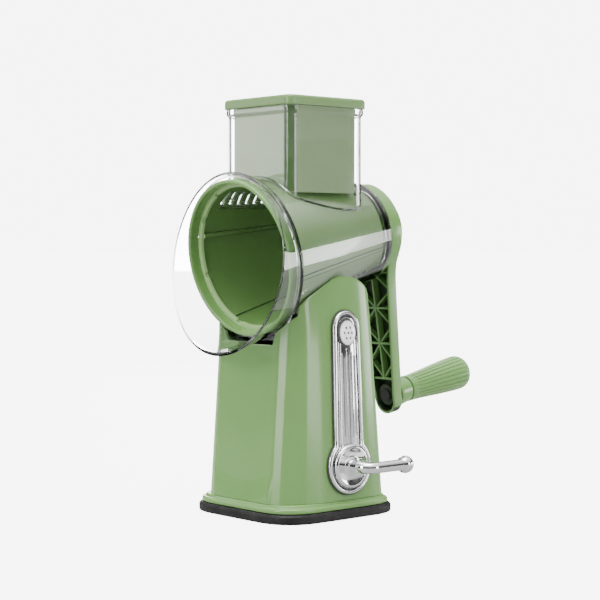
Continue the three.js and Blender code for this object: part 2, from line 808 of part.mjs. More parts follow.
// A curved steel plate with a row of slanted slots, and a raised tooth along each slot.
function makeBlade(angle) {
  const ends = [bladeStart - 1, bladeStart + bladeLength + 1];
  const cone = (extra) => axisCone(drumOuter, extra - bladeSink, ...ends);
  const plate = cut(cone(0), cone(-bladeThickness));
  const pitch = bladeLength / teethPerBlade;
  const teeth = [];
  const slots = [];
  for (let i = 0; i < teethPerBlade; i++) {
    const s = bladeStart + (i + 0.5) * pitch;
    const r = drumOuter(s) - bladeSink;
    const place = new THREE.Matrix4()
      .makeRotationY(-angle)
      .multiply(new THREE.Matrix4().makeTranslation(r, s, 0))
      .multiply(new THREE.Matrix4().makeRotationX(toothSlant));
    const across = [-toothHalfLength, toothHalfLength];
    slots.push(moved(box([-6, 6], [-slotHalfWidth, slotHalfWidth], across), place));
    teeth.push(moved(box([-1.6, 2], [slotHalfWidth, slotHalfWidth + toothThickness], across), place));
  }
  const row = union(...teeth).intersect(cone(toothRise));
  return cut(union(plate, row).intersect(overBlade(angle, 0)), ...slots);
}

const makeRing = () =>
  turned([
    [ringInner, ringFront],
    [ringRadius, ringFront],
    [ringRadius, 0.6],
    [ringInner, 0.6],
  ]);

const hubFlangeFront = drumLength - drumBackWall - gap - hubFlangeThickness;
const hubBack = rearWallFront - gap;

const makeHub = () =>
  turned([
    [spindleRadius + gap, hubFlangeFront],
    [hubFlangeRadius, hubFlangeFront],
    [hubFlangeRadius, hubFlangeFront + hubFlangeThickness],
    [hubRadius, hubFlangeFront + hubFlangeThickness],
    [hubRadius, hubBack],
    [spindleRadius + gap, hubBack],
  ], 24);

const rearWallBack = rearWallFront + rearWallThickness;

const makeBush = () =>
  turned([
    [spindleRadius + gap, rearWallFront],
    [bushRadius, rearWallFront],
    [bushRadius, rearWallBack + gap],
    [bushRadius + 3, rearWallBack + gap],
    [bushRadius + 3, rearWallBack + gap + bushFlange],
    [spindleRadius + gap, rearWallBack + gap + bushFlange],
  ], 24);

const washerFront = rearWallBack + 2 * gap + bushFlange;
const makeWasher = () =>
  turned([
    [spindleRadius + gap, washerFront],
    [washerRadius, washerFront],
    [washerRadius, washerFront + washerThickness],
    [spindleRadius + gap, washerFront + washerThickness],
  ], 24);

const armWeb = armBack - armWall;
const makeSpindle = () =>
  cut(
    rod([0, hubFlangeFront - 3, 0], [0, armWeb - gap, 0], spindleRadius),
    rod([0, armWeb - 14, 0], [0, armWeb + 1, 0], screwRadius + gap),
  );

// ---------- crank ----------
// The arm's outline, drawn in X and height, with its edge moved in by some distance.
function armOutline(inset, s0, s1) {
  const r = armEndRadius - inset;
  const tip = crankRadius + armTipDrop;
  const s = new THREE.Shape();
  s.moveTo(armTopHalfWidth - inset, -armTop);
  s.lineTo(armTopHalfWidth - inset, 0);
  s.lineTo(-armTopHalfWidth + inset, 0);
  s.lineTo(-armTopHalfWidth + inset, -armTop);
  s.lineTo(-r, -tip);
  s.absarc(0, -tip, r, Math.PI, Math.PI * 2);
  s.lineTo(armTopHalfWidth - inset, -armTop);
  const slab = pulled(s, s0, s1, 8);
  return moved(slab, new THREE.Matrix4().set(1, 0, 0, 0, 0, 0, 1, 0, 0, 1, 0, 0, 0, 0, 0, 1));
}

function makeCrank() {
  const outer = union(
    armOutline(0, armFront, armBack),
    axisCone(() => headRadius, 0, headFront, armBack - 1),
  );
  const room = union(
    armOutline(armWall, armFront - 9, armWeb),
    axisCone(() => headRadius - headWall, 0, headFront - 1, armWeb - 1),
  );
  const keep = axisCone(() => gripPinRadius + 6, 0, armFront, armBack);
  const pinBoss = moved(keep, new THREE.Matrix4().makeTranslation(0, 0, -crankRadius));
  const ribY = [armWeb - ribHeight, armWeb + 0.5];
  const half = ribThickness / 2;
  const spine = box([-half, half], ribY, [-crankRadius, -spindleRadius - 4]);
  const ribs = armRibs.map((u) =>
    box([-armTopHalfWidth, armTopHalfWidth], ribY, [-u - half, -u + half]),
  );
  const lattice = union(spine, ...ribs).intersect(outer);
  const hub = rod([0, washerFront + washerThickness + gap, 0], [0, armWeb + 0.5, 0], 9);
  const bores = [
    rod([0, 100, 0], [0, armWeb, 0], spindleRadius + gap),
    rod([0, 100, 0], [0, 150, 0], screwRadius + gap),
    rod([0, 100, -crankRadius], [0, 150, -crankRadius], gripPinRadius + gap),
    rod([0, 100, -crankRadius], [0, armFront + 4, -crankRadius], gripPinRadius + 2 + gap),
  ];
  return cut(union(cut(outer, room), pinBoss, lattice, hub), ...bores);
}

function makeCrankScrew() {
  const head = armBack + gap;
  return union(
    rod([0, armWeb - 12, 0], [0, head + 0.5, 0], screwRadius),
    rod([0, head, 0], [0, head + screwHeadHeight, 0], screwHeadRadius),
  );
}

function makeCap() {
  const front = armBack + gap;
  return turned([
    [screwHeadRadius + 2, front],
    [capRadius, front],
    [capRadius, front + capDepth - 3],
    [capRadius - 3, front + capDepth],
    [0, front + capDepth],
    [0, front + capDepth - 3],
    [screwHeadRadius + 2, front + capDepth - 3],
  ], 36);
}

// ---------- grip ----------
const gripAt = (s) => [0, s, -crankRadius];
const collarStart = armBack + gap;

function makeGripPin() {
  return union(
    rod(gripAt(armFront + 1), gripAt(armFront + 4 - gap), gripPinRadius + 2),
    rod(gripAt(armFront + 3), gripAt(gripStart + gripLength - 10), gripPinRadius),
  );
}

const makeGripCollar = () =>
  cut(
    rod(gripAt(collarStart), gripAt(gripStart - gap), gripCollarRadius, gripSmall, 24),
    rod(gripAt(0), gripAt(300), gripPinRadius + gap),
  );

function makeGrip() {
  const end = gripStart + gripLength;
  const round = 6;
  const dome = [0, 1, 2, 3].map((i) => {
    const a = (i / 3) * (Math.PI / 2);
    return [gripLarge - round + round * Math.cos(a), end - round + round * Math.sin(a)];
  });
  const bore = gripPinRadius + gap;
  const boreEnd = end - 9;
  const shape = turned([
    [bore, gripStart],
    [gripSmall, gripStart],
    [gripSmall + 0.6, gripStart + 12],
    ...dome,
    [0, end],
    [0, boreEnd],
    [bore, boreEnd],
  ], 32);
  return moved(shape, new THREE.Matrix4().makeTranslation(0, 0, -crankRadius));
}

// ---------- pusher ----------
function chamferedSquare(half, chamfer) {
  const c = half - chamfer;
  const corners = [[half, -c], [half, c], [c, half], [-c, half]];
  const all = [...corners, ...corners.map(([x, y]) => [-x, -y])];
  return new THREE.Shape(all.map(([x, y]) => new THREE.Vector2(x, y)));
}

const pusherHalf = chuteHalf - clearWall - pusherClearance;
const capHalf = chuteHalf + chuteFlange + capOverhang;

// A cup whose underside follows the drum.
function makePusherBody() {
  const drum = (extra) =>
    moved(axisCone(drumOuter, pusherDrumClearance + extra, -60, 160), toWorld);
  const block = pulled(chamferedSquare(pusherHalf, pusherChamfer), pusherBottom, chuteTop);
  const inside = pulled(
    chamferedSquare(pusherHalf - pusherWall, pusherChamfer - 1),
    pusherBottom + pusherWall,
    chuteTop + 1,
  );
  return cut(block, drum(0), cut(inside, drum(pusherWall)));
}

function makePusherCap() {
  const edge = 1.6;
  const bottom = chuteTop + gap;
  const top = bottom + capThickness;
  const plate = pulled(roundedSquare(capHalf, capCorner), bottom, top - edge);
  const crown = pulled(roundedSquare(capHalf - edge, capCorner - edge), bottom, top);
  const plugHalf = pusherHalf - pusherWall - gap;
  const plug = cut(
    pulled(chamferedSquare(plugHalf, pusherChamfer - 1), bottom - 5, bottom + 1),
    pulled(chamferedSquare(plugHalf - 2, pusherChamfer - 2), bottom - 6, bottom),
  );
  return union(plate, crown, plug);
}

// ---------- the assembly ----------
addPiece("suction_pad", makePad(), rubber);
addPiece("base_plate", makePlate(), green);
addPiece("stand_shell", makeStand(), green);
const baseHeadZ = padHeight + 2 * gap;
baseScrews.forEach(([x, y], i) =>
  addPiece(`base_screw_${i + 1}`, screw(x, y, baseHeadZ, baseScrewLength), steel),
);
addPiece("cam_bracket", makeBracket(), black);
const bracketScrewTop = bracketBottom + bracketFloor + gap + screwHeadHeight;
bracketScrews.forEach(([x, y], i) => {
  const flip = new THREE.Matrix4().makeRotationX(Math.PI);
  flip.setPosition(x, y, bracketScrewTop);
  addPiece(`bracket_screw_${i + 1}`, moved(screw(0, 0, 0, 7.5), flip), steel);
});
addPiece("cam_shaft", makeCamShaft(), steel);
addPiece("cam", makeCam(), black);
addPiece("shaft_clip", makeShaftClip(), steel);
addPiece("lever_dial", makeDial(), chrome);
addPiece("lever_arm", makeLeverArm(), chrome);
addPiece("pull_stem", makeStem(), steel);
addPiece("stem_spring", makeStemSpring(), steel);
addPiece("trim_frame", makeTrimFrame(), chrome, sideFrame);
addPiece("trim_inlay", makeTrimInlay(), chrome, sideFrame);
addPiece("release_button", makeButton(), chrome, sideFrame);
addPiece("button_spring", makeButtonSpring(), steel);
addPiece("latch_bar", makeLatchBar(), black);
addPiece("latch_tray", makeTray(), black);
const trayHeadZ = trayTop - trayThickness - gap - screwHeadHeight;
trayScrews.forEach(([x, y], i) =>
  addPiece(`tray_screw_${i + 1}`, screw(x, y, trayHeadZ, baseScrewLength), steel),
);

addPiece("housing", makeHousing(), clear);
addPiece("rear_bush", makeBush(), black, barrelFrame);
addPiece("drum_shell", makeDrumShell(), green, barrelFrame);
addPiece("drum_ring", makeRing(), green, barrelFrame);
addPiece("drum_hub", makeHub(), darkGreen, barrelFrame);
bladeAngles.forEach((angle, i) =>
  addPiece(`blade_${i + 1}`, makeBlade(angle), steel, barrelFrame),
);
addPiece("spindle", makeSpindle(), steel, barrelFrame);
addPiece("thrust_washer", makeWasher(), steel, barrelFrame);
addPiece("crank_arm", makeCrank(), green, barrelFrame);
addPiece("crank_cap", makeCap(), green, barrelFrame);
addPiece("crank_screw", makeCrankScrew(), steel, barrelFrame);
addPiece("grip_pin", makeGripPin(), steel, barrelFrame);
addPiece("grip_collar", makeGripCollar(), green, barrelFrame);
addPiece("grip", makeGrip(), green, barrelFrame);
addPiece("pusher_body", makePusherBody(), green);
addPiece("pusher_cap", makePusherCap(), green);

export default grater;
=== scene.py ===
# Rotary cheese grater: the looks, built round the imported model.
# Lengths in the dictionaries are millimetres; mm turns them into metres.
import json
import math

import bmesh
import bpy
import numpy as np
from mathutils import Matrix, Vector


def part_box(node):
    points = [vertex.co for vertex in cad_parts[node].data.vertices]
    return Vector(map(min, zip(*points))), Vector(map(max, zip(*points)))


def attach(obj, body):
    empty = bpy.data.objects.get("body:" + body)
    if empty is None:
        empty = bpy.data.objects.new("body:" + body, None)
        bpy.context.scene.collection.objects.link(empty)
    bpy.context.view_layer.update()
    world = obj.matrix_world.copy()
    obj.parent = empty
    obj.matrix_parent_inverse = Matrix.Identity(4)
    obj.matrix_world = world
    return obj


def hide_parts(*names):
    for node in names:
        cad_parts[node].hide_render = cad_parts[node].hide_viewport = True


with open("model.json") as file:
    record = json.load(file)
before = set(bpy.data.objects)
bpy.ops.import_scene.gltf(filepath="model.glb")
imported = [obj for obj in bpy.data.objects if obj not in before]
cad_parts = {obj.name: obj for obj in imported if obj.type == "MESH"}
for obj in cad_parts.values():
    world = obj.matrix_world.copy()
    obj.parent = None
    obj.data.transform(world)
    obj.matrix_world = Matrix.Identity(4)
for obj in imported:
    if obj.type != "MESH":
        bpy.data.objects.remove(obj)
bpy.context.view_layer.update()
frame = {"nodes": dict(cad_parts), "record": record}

mm = 0.001
print("stage: frame loaded", len(frame["nodes"]), "nodes")


def boxOf(node):
    low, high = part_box(node)
    return np.array(low) / mm, np.array(high) / mm


def ramp(tree, value, low, high, fromValue, toValue):
    # value between low and high becomes a number between fromValue and toValue
    node = tree.nodes.new("ShaderNodeMapRange")
    node.inputs["From Min"].default_value = low
    node.inputs["From Max"].default_value = high
    node.inputs["To Min"].default_value = fromValue
    node.inputs["To Max"].default_value = toValue
    tree.links.new(value, node.inputs["Value"])
    return node.outputs["Result"]


# ---------- camera, floor and light ----------
view = {"place": (935.14, -814.76, 199.87), "aim": (-0.75144, 0.65899, -0.03285), "lens": 98.55}
studio = {
    # the world's strength overhead, at the horizon, and as the plain backdrop behind everything
    "overhead": 2.2, "horizon": 0.06, "backdrop": 7.0,
    # heights of direction between which the world brightens
    "skyStart": 0.35, "skyEnd": 0.9,
    # the floor's own colour, its glow on the object, and its glow where it is seen straight
    "floor": 0.15, "floorGlow": 0.36, "floorSeen": 6.8, "floorHalf": 40.0,
    # name: place, aim, width, height, watts
    "lights": {
        "frontLeft": ((-1150, -1050, 470), (0, 0, 270), 900, 420, 3.5),
        "frontStrip": ((130, -1500, 240), (0, 0, 120), 320, 1100, 8),
        "rightStrip": ((1420, 435, 220), (0, 0, 120), 450, 1000, 9),
        "rearRight": ((690, 1330, 195), (0, 0, 190), 760, 350, 7),
        "top": ((150, -250, 1500), (0, 0, 150), 1000, 1000, 26),
        "frontHigh": ((60, -1300, 640), (0, -60, 150), 300, 300, 5),
        "behind": ((-1200, 900, 500), (0, 0, 200), 500, 700, 8),
    },
}


def addCamera():
    cam = bpy.data.cameras.new("camera")
    cam.lens = view["lens"]
    cam.sensor_width = 36
    cam.clip_end = 50
    camera = bpy.data.objects.new("camera", cam)
    bpy.context.scene.collection.objects.link(camera)
    camera.location = Vector(view["place"]) * mm
    camera.rotation_euler = Vector(view["aim"]).to_track_quat("-Z", "Y").to_euler()
    bpy.context.scene.camera = camera


def addLights():
    for name, (place, aim, width, height, watts) in studio["lights"].items():
        data = bpy.data.lights.new(name, "AREA")
        data.shape = "RECTANGLE"
        data.size = width * mm
        data.size_y = height * mm
        data.energy = watts
        lamp = bpy.data.objects.new(name, data)
        bpy.context.scene.collection.objects.link(lamp)
        lamp.location = Vector(place) * mm
        lamp.rotation_euler = (Vector(aim) - Vector(place)).to_track_quat("-Z", "Y").to_euler()
    addWorld()


def seenStraight(tree):
    # 1 for a ray that has met nothing, or only clear walls it went through
    path = tree.nodes.new("ShaderNodeLightPath")
    turns = tree.nodes.new("ShaderNodeMath")
    turns.operation = "ADD"
    tree.links.new(path.outputs["Diffuse Depth"], turns.inputs[0])
    tree.links.new(path.outputs["Glossy Depth"], turns.inputs[1])
    straight = tree.nodes.new("ShaderNodeMath")
    straight.operation = "LESS_THAN"
    straight.inputs[1].default_value = 0.5
    tree.links.new(turns.outputs["Value"], straight.inputs[0])
    return straight.outputs["Value"]


def addWorld():
    # strength rises from the horizon to overhead with the height of the direction; what lies
    # straight behind the object is one plain bright tone
    world = bpy.data.worlds.new("studio")
    world.use_nodes = True
    tree = world.node_tree
    place = tree.nodes.new("ShaderNodeTexCoord")
    split = tree.nodes.new("ShaderNodeSeparateXYZ")
    tree.links.new(place.outputs["Generated"], split.inputs["Vector"])
    strength = ramp(tree, split.outputs["Z"], studio["skyStart"], studio["skyEnd"],
                    studio["horizon"], studio["overhead"])
    pick = tree.nodes.new("ShaderNodeMix")
    tree.links.new(seenStraight(tree), pick.inputs["Factor"])
    tree.links.new(strength, pick.inputs["A"])
    pick.inputs["B"].default_value = studio["backdrop"]
    background = tree.nodes["Background"]
    background.inputs["Color"].default_value = (1, 1, 1, 1)
    tree.links.new(pick.outputs["Result"], background.inputs["Strength"])
    bpy.context.scene.world = world


addCamera()
addLights()


# ---------- materials ----------
def newMaterial(name, colour, roughness, metallic=0.0, **sockets):
    material = bpy.data.materials.new(name)
    material.use_nodes = True
    shader = material.node_tree.nodes["Principled BSDF"]
    shader.inputs["Base Color"].default_value = (*colour, 1)
    shader.inputs["Roughness"].default_value = roughness
    shader.inputs["Metallic"].default_value = metallic
    for key, value in sockets.items():
        shader.inputs[key.replace("_", " ")].default_value = value
    return material, material.node_tree, shader


def noise(tree, scale, detail=3.0, stretch=(1, 1, 1)):
    # noise on the piece's own coordinates, in metres, so scale is waves per metre
    place = tree.nodes.new("ShaderNodeTexCoord")
    mapping = tree.nodes.new("ShaderNodeMapping")
    mapping.inputs["Scale"].default_value = stretch
    texture = tree.nodes.new("ShaderNodeTexNoise")
    texture.inputs["Scale"].default_value = scale
    texture.inputs["Detail"].default_value = detail
    tree.links.new(place.outputs["Object"], mapping.inputs["Vector"])
    tree.links.new(mapping.outputs["Vector"], texture.inputs["Vector"])
    return texture.outputs["Fac"]


def mixColours(tree, factor, first, second):
    node = tree.nodes.new("ShaderNodeMix")
    node.data_type = "RGBA"
    node.inputs[6].default_value = (*first, 1)
    node.inputs[7].default_value = (*second, 1)
    tree.links.new(factor, node.inputs[0])
    return node.outputs[2]


def addBump(tree, shader, heights, strength, distance):
    bump = tree.nodes.new("ShaderNodeBump")
    bump.inputs["Strength"].default_value = strength
    bump.inputs["Distance"].default_value = distance
    tree.links.new(heights, bump.inputs["Height"])
    tree.links.new(bump.outputs["Normal"], shader.inputs["Normal"])


def mouldedPlastic(name, colour, shade, roughness, coat=0.0):
    # coloured plastic: slow colour drift, fine orange peel and faint rubbing marks in the gloss
    material, tree, shader = newMaterial(name, colour, roughness, Coat_Weight=coat)
    shader.inputs["Coat Roughness"].default_value = 0.05
    shader.inputs["IOR"].default_value = 1.52
    drift = ramp(tree, noise(tree, 14, 4), 0.35, 0.65, 0, 1)
    tree.links.new(mixColours(tree, drift, colour, shade), shader.inputs["Base Color"])
    marks = noise(tree, 160, 5, (1, 1, 0.12))
    rubbed = ramp(tree, marks, 0.3, 0.75, roughness * 0.94, roughness * 1.08)
    tree.links.new(rubbed, shader.inputs["Roughness"])
    addBump(tree, shader, noise(tree, 900, 2), 0.05, 0.0002)
    return material


def clearPlastic():
    # clear moulded plastic, with the faint haze of washing
    material, tree, shader = newMaterial("clearPlastic", (0.985, 0.992, 1.0), 0.02)
    shader.inputs["Transmission Weight"].default_value = 1.0
    shader.inputs["IOR"].default_value = 1.5
    haze = noise(tree, 60, 4)
    tree.links.new(ramp(tree, haze, 0.45, 0.8, 0.012, 0.07), shader.inputs["Roughness"])
    return material


def platedChrome():
    material, tree, shader = newMaterial("platedChrome", (0.9, 0.9, 0.91), 0.05, 1.0)
    smear = noise(tree, 220, 4, (1, 1, 0.3))
    tree.links.new(ramp(tree, smear, 0.35, 0.75, 0.03, 0.12), shader.inputs["Roughness"])
    addBump(tree, shader, noise(tree, 60, 2), 0.03, 0.001)
    return material


def stainless(name, roughness, stretch, colour=(0.66, 0.67, 0.68)):
    # steel with a fine grain, which stretch can draw out one way
    material, tree, shader = newMaterial(name, colour, roughness, 1.0)
    grain = noise(tree, 700, 4, stretch)
    tree.links.new(ramp(tree, grain, 0.3, 0.7, roughness * 0.7, roughness * 1.5), shader.inputs["Roughness"])
    addBump(tree, shader, grain, 0.12, 0.0002)
    return material


def blackRubber():
    material, tree, shader = newMaterial("blackRubber", (0.006, 0.006, 0.006), 0.5, Specular_IOR_Level=0.25)
    dust = ramp(tree, noise(tree, 90, 6), 0.45, 0.75, 0, 1)
    dusty = mixColours(tree, dust, (0.004, 0.004, 0.004), (0.016, 0.016, 0.015))
    tree.links.new(dusty, shader.inputs["Base Color"])
    tree.links.new(ramp(tree, noise(tree, 300, 3), 0.3, 0.7, 0.38, 0.6), shader.inputs["Roughness"])
    addBump(tree, shader, noise(tree, 1500, 2), 0.12, 0.0002)
    return material


green = (0.14, 0.285, 0.082)
greenShade = (0.128, 0.266, 0.073)
finish = {
    "green": mouldedPlastic("greenGloss", green, greenShade, 0.2, 0.15),
    "drum": mouldedPlastic("greenDrum", (0.31, 0.5, 0.2), (0.285, 0.475, 0.185), 0.3, 0.1),
    # painted shade: the lid's darker green is a shaded copy of the green plastic, for its sides in shade
    "lid": mouldedPlastic("greenLidPaintedShade", (0.125, 0.225, 0.075), (0.115, 0.21, 0.068), 0.34),
    # painted shade: a darker copy of the drum's green, for the drum's inside and the pusher's corners
    "paintedShadeGreen": mouldedPlastic("greenPaintedShade", (0.1, 0.2, 0.058), (0.09, 0.184, 0.05), 0.34),
    # painted light: the pusher's lighter green is a lit copy of the green plastic, standing for light reflected
    # off the clear chute
    "pusher": mouldedPlastic("greenPusherPaintedLight", (0.45, 0.62, 0.32), (0.42, 0.59, 0.295), 0.25, 0.1),
    # painted shade: nearly black green for the crank's channel, the drum's dark lines and the crank's socket
    "channel": mouldedPlastic("greenChannelPaintedShade", (0.008, 0.022, 0.005), (0.006, 0.017, 0.004), 0.5),
    "black": mouldedPlastic("blackSatin", (0.02, 0.02, 0.02), (0.03, 0.03, 0.03), 0.42),
    "clear": clearPlastic(),
    "chrome": platedChrome(),
    # painted shade: nearly black steel for the grip's pin, in the socket's shade
    "darkSteel": stainless("pinSteelPaintedShade", 0.4, (1, 1, 1), (0.05, 0.05, 0.05)),
    "satin": stainless("satinChrome", 0.42, (1, 1, 1), (0.8, 0.8, 0.8)),
    "steel": stainless("turnedSteel", 0.26, (1, 1, 1)),
    "blade": stainless("rolledBlade", 0.2, (1, 0.08, 1), (0.74, 0.75, 0.76)),
    "rubber": blackRubber(),
}
print("stage: materials ready")


# ---------- surfaces ----------
def ringFaces(rings, around, closeRings=False):
    # quads between neighbouring rings of a grid of rings x around points; each ring closes on itself
    top = rings if closeRings else rings - 1
    r, a = np.meshgrid(np.arange(top), np.arange(around), indexing="ij")
    here, nextUp = r * around, ((r + 1) % rings) * around
    nextAround = (a + 1) % around
    return np.stack([here + a, here + nextAround, nextUp + nextAround, nextUp + a], -1).reshape(-1, 4)


def fan(ring, centre):
    # triangles from each side of a ring to one middle point
    return np.stack([ring, np.roll(ring, -1), np.full(len(ring), centre)], -1)


def skin(rings, closeRings=False, capStart=True, capEnd=True, fanned=True):
    # points and faces of a skin over rings (rings x around x 3), its open ends closed by a fan
    # round the middle, or by one polygon where the outline turns inwards
    count, around = rings.shape[:2]
    points = rings.reshape(-1, 3)
    faces = [ringFaces(count, around, closeRings)]
    ends = [] if closeRings else [(capStart, 0), (capEnd, count - 1)]
    for wanted, which in ends:
        ring = which * around + np.arange(around)
        if wanted and fanned:
            faces.append(fan(ring, len(points)))
            points = np.vstack([points, rings[which].mean(0)])
        elif wanted:
            faces.append(ring[None, :])
    return points, faces


def toMesh(name, parts, sharp=35):
    # one mesh from (points, faces) parts in millimetres, welded, with its normals turned outwards
    points, faces, start = [], [], 0
    for partPoints, partFaces in parts:
        points.append(partPoints)
        for block in partFaces:
            faces += (block + start).tolist()
        start += len(partPoints)
    mesh = bpy.data.meshes.new(name)
    mesh.from_pydata((np.vstack(points) * mm).tolist(), [], faces)
    work = bmesh.new()
    work.from_mesh(mesh)
    bmesh.ops.remove_doubles(work, verts=work.verts, dist=1e-6)
    bmesh.ops.dissolve_degenerate(work, edges=work.edges, dist=1e-7)
    bmesh.ops.recalc_face_normals(work, faces=work.faces)
    work.to_mesh(mesh)
    work.free()
    mesh.polygons.foreach_set("use_smooth", np.ones(len(mesh.polygons), bool))
    mesh.set_sharp_from_angle(angle=math.radians(sharp))
    piece = bpy.data.objects.new(name, mesh)
    bpy.context.scene.collection.objects.link(piece)
    return piece


def settle(piece, material, body, slot, *nodes):
    # gives a finished piece its finish and its body, and hides the CAD nodes that it stands for; slot is not
    # used
    piece.data.materials.clear()
    piece.data.materials.append(finish[material])
    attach(piece, body)
    if nodes:
        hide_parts(*nodes)
    return piece


def carve(piece, *tools, operation="DIFFERENCE", sharp=35):
    # joins or cuts a piece by other closed pieces, which are used up
    for tool in tools:
        step = piece.modifiers.new("carve", "BOOLEAN")
        step.operation = operation
        step.solver = "EXACT"
        step.object = tool
        done = bpy.data.meshes.new_from_object(piece.evaluated_get(bpy.context.evaluated_depsgraph_get()))
        piece.modifiers.clear()
        piece.data = done
        bpy.data.objects.remove(tool)
    piece.data.polygons.foreach_set("use_smooth", np.ones(len(piece.data.polygons), bool))
    piece.data.set_sharp_from_angle(angle=math.radians(sharp))
    return piece


def roundCorners(corners, radii, steps=6):
    # closed outline: each corner becomes a parabola that leaves one side and joins the next,
    # (1-t)^2 start + 2t(1-t) corner + t^2 end
    corners = np.asarray(corners, float)
    radii = np.broadcast_to(np.asarray(radii, float), len(corners))[:, None]
    back, ahead = np.roll(corners, 1, 0) - corners, np.roll(corners, -1, 0) - corners
    backLength = np.linalg.norm(back, axis=1, keepdims=True)
    aheadLength = np.linalg.norm(ahead, axis=1, keepdims=True)
    start = corners + back / backLength * np.minimum(radii, backLength * 0.49)
    end = corners + ahead / aheadLength * np.minimum(radii, aheadLength * 0.49)
    t = np.linspace(0, 1, steps)[None, :, None]
    curve = (1 - t) ** 2 * start[:, None] + 2 * t * (1 - t) * corners[:, None] + t ** 2 * end[:, None]
    return curve.reshape(-1, corners.shape[1])


def softProfile(points, radius=0.6, steps=4):
    # an open profile whose inner corners are rounded like roundCorners does
    points = np.asarray(points, float)
    radii = np.full(len(points), radius)
    curve = roundCorners(points, radii, steps).reshape(len(points), steps, 2)
    return np.vstack([points[:1], curve[1:-1].reshape(-1, 2), points[-1:]])


def turnedRings(profile, around=96):
    # a profile of (radius, distance) turned round the Y axis:
    # (radius cos a, distance, radius sin a)
    a = np.linspace(0, 2 * np.pi, around, endpoint=False)
    r, s = profile[:, :1], profile[:, 1:]
    return np.stack([r * np.cos(a), s + 0 * a, r * np.sin(a)], -1)


def squareRings(profile, half, corner, steps=10):
    # a rounded square carried up a profile of (inset, height)
    corners = np.array([[1, -1], [1, 1], [-1, 1], [-1, -1]], float)
    insets = profile[:, 0]
    rings = [roundCorners(corners * (half - i), max(corner - i, 0.5) * 1.12, steps) for i in insets]
    rings = np.stack(rings)
    heights = np.broadcast_to(profile[:, 1][:, None, None], (*rings.shape[:2], 1))
    return np.concatenate([rings, heights], -1)


def smoothStep(x):
    x = np.clip(x, 0, 1)
    return x * x * (3 - 2 * x)


# ---------- the drum's axis ----------
joints = {j["name"]: j for j in frame["record"]["behaviour"]["joints"]}
axisPoint = np.array(joints["crank_turn"]["pos_m"]) / mm
axisY = np.array(joints["crank_turn"]["axis"])
axisX = np.array([1.0, 0.0, 0.0])
axisZ = np.cross(axisX, axisY)


def onAxis(local):
    # from (across, along, up) on the drum's axis to the row's frame
    local = np.asarray(local, float)
    return axisPoint + local[..., :1] * axisX + local[..., 1:2] * axisY + local[..., 2:] * axisZ


def offAxis(world):
    away = np.asarray(world, float) - axisPoint
    return np.stack([away @ axisX, away @ axisY, away @ axisZ], -1)


def turnedPiece(name, profile, around=96, rounding=0.6, closed=True, at=(0, 0), sharp=35):
    # a profile turned round the drum's axis, or round a line beside it: a closed one makes a ring,
    # an open one makes a solid; rounding 0 keeps its corners
    curve = np.asarray(profile, float)
    if rounding:
        curve = roundCorners(curve, rounding, 4) if closed else softProfile(curve, rounding)
    points, faces = skin(turnedRings(curve, around) + [at[0], 0, at[1]], closeRings=closed)
    return toMesh(name, [(onAxis(points), faces)], sharp)


def heightOver(flat, radius, side=1, start=240.0):
    # height over points (x, y) of a round surface on the drum's axis: x^2 + u^2 = radius(s)^2,
    # solved by repeating; side 1 is its upper half and -1 its lower one
    x, y = flat[:, 0], flat[:, 1]
    z = np.full(len(x), start)
    for _ in range(12):
        s = (y - axisPoint[1]) * axisY[1] + (z - axisPoint[2]) * axisY[2]
        u = side * np.sqrt(np.clip(radius(s) ** 2 - x ** 2, 0, None))
        z = axisPoint[2] + (u - (y - axisPoint[1]) * axisZ[1]) / axisZ[2]
    return z


def shadeFaces(piece, material, chosen):
    # gives a second finish to the faces that chosen(middles, normals) picks, both in the drum's frame
    piece.data.materials.append(finish[material])
    count = len(piece.data.polygons)
    middles, normals = np.empty(count * 3), np.empty(count * 3)
    piece.data.polygons.foreach_get("center", middles)
    piece.data.polygons.foreach_get("normal", normals)
    normals = normals.reshape(-1, 3)
    local = offAxis(middles.reshape(-1, 3) / mm)
    picked = chosen(local, np.stack([normals @ axisX, normals @ axisY, normals @ axisZ], -1))
    old = np.empty(count, np.int32)
    piece.data.polygons.foreach_get("material_index", old)
    newest = len(piece.data.materials) - 1
    piece.data.polygons.foreach_set("material_index", np.where(picked, newest, old).astype(np.int32))


# ---------- clear housing ----------
barrel = {
    "radius": 59.5, "slope": 0.172, "length": 117.6, "wall": 2.0,
    "collar": 61.8, "collarDepth": 5.0, "rearWall": 110.5, "rearWallThickness": 3.5, "bore": 9.95,
    "lipTop": (-62.5, 254.0), "lipBottom": (-76.0, 119.7), "lipBow": 3.2, "lipFlare": 3.0,
    "chuteHalf": 37.5, "chuteCorner": 8.0, "chuteTop": 302.0, "chuteLip": 1.6, "chuteLipDepth": 4.0,
    # the bead round the chute's foot: its radius, and how far its long sides bow out
    "bead": 1.2, "beadBow": 4.0, "drumAir": 1.2,
    "footHalf": 29.0, "footFront": -39.0, "footBack": 20.0, "footBottom": 130.6,
}


def barrelOuter(s):
    return barrel["radius"] - barrel["slope"] * s


def drumOuter(s):
    return barrelOuter(s) - barrel["wall"] - barrel["drumAir"]


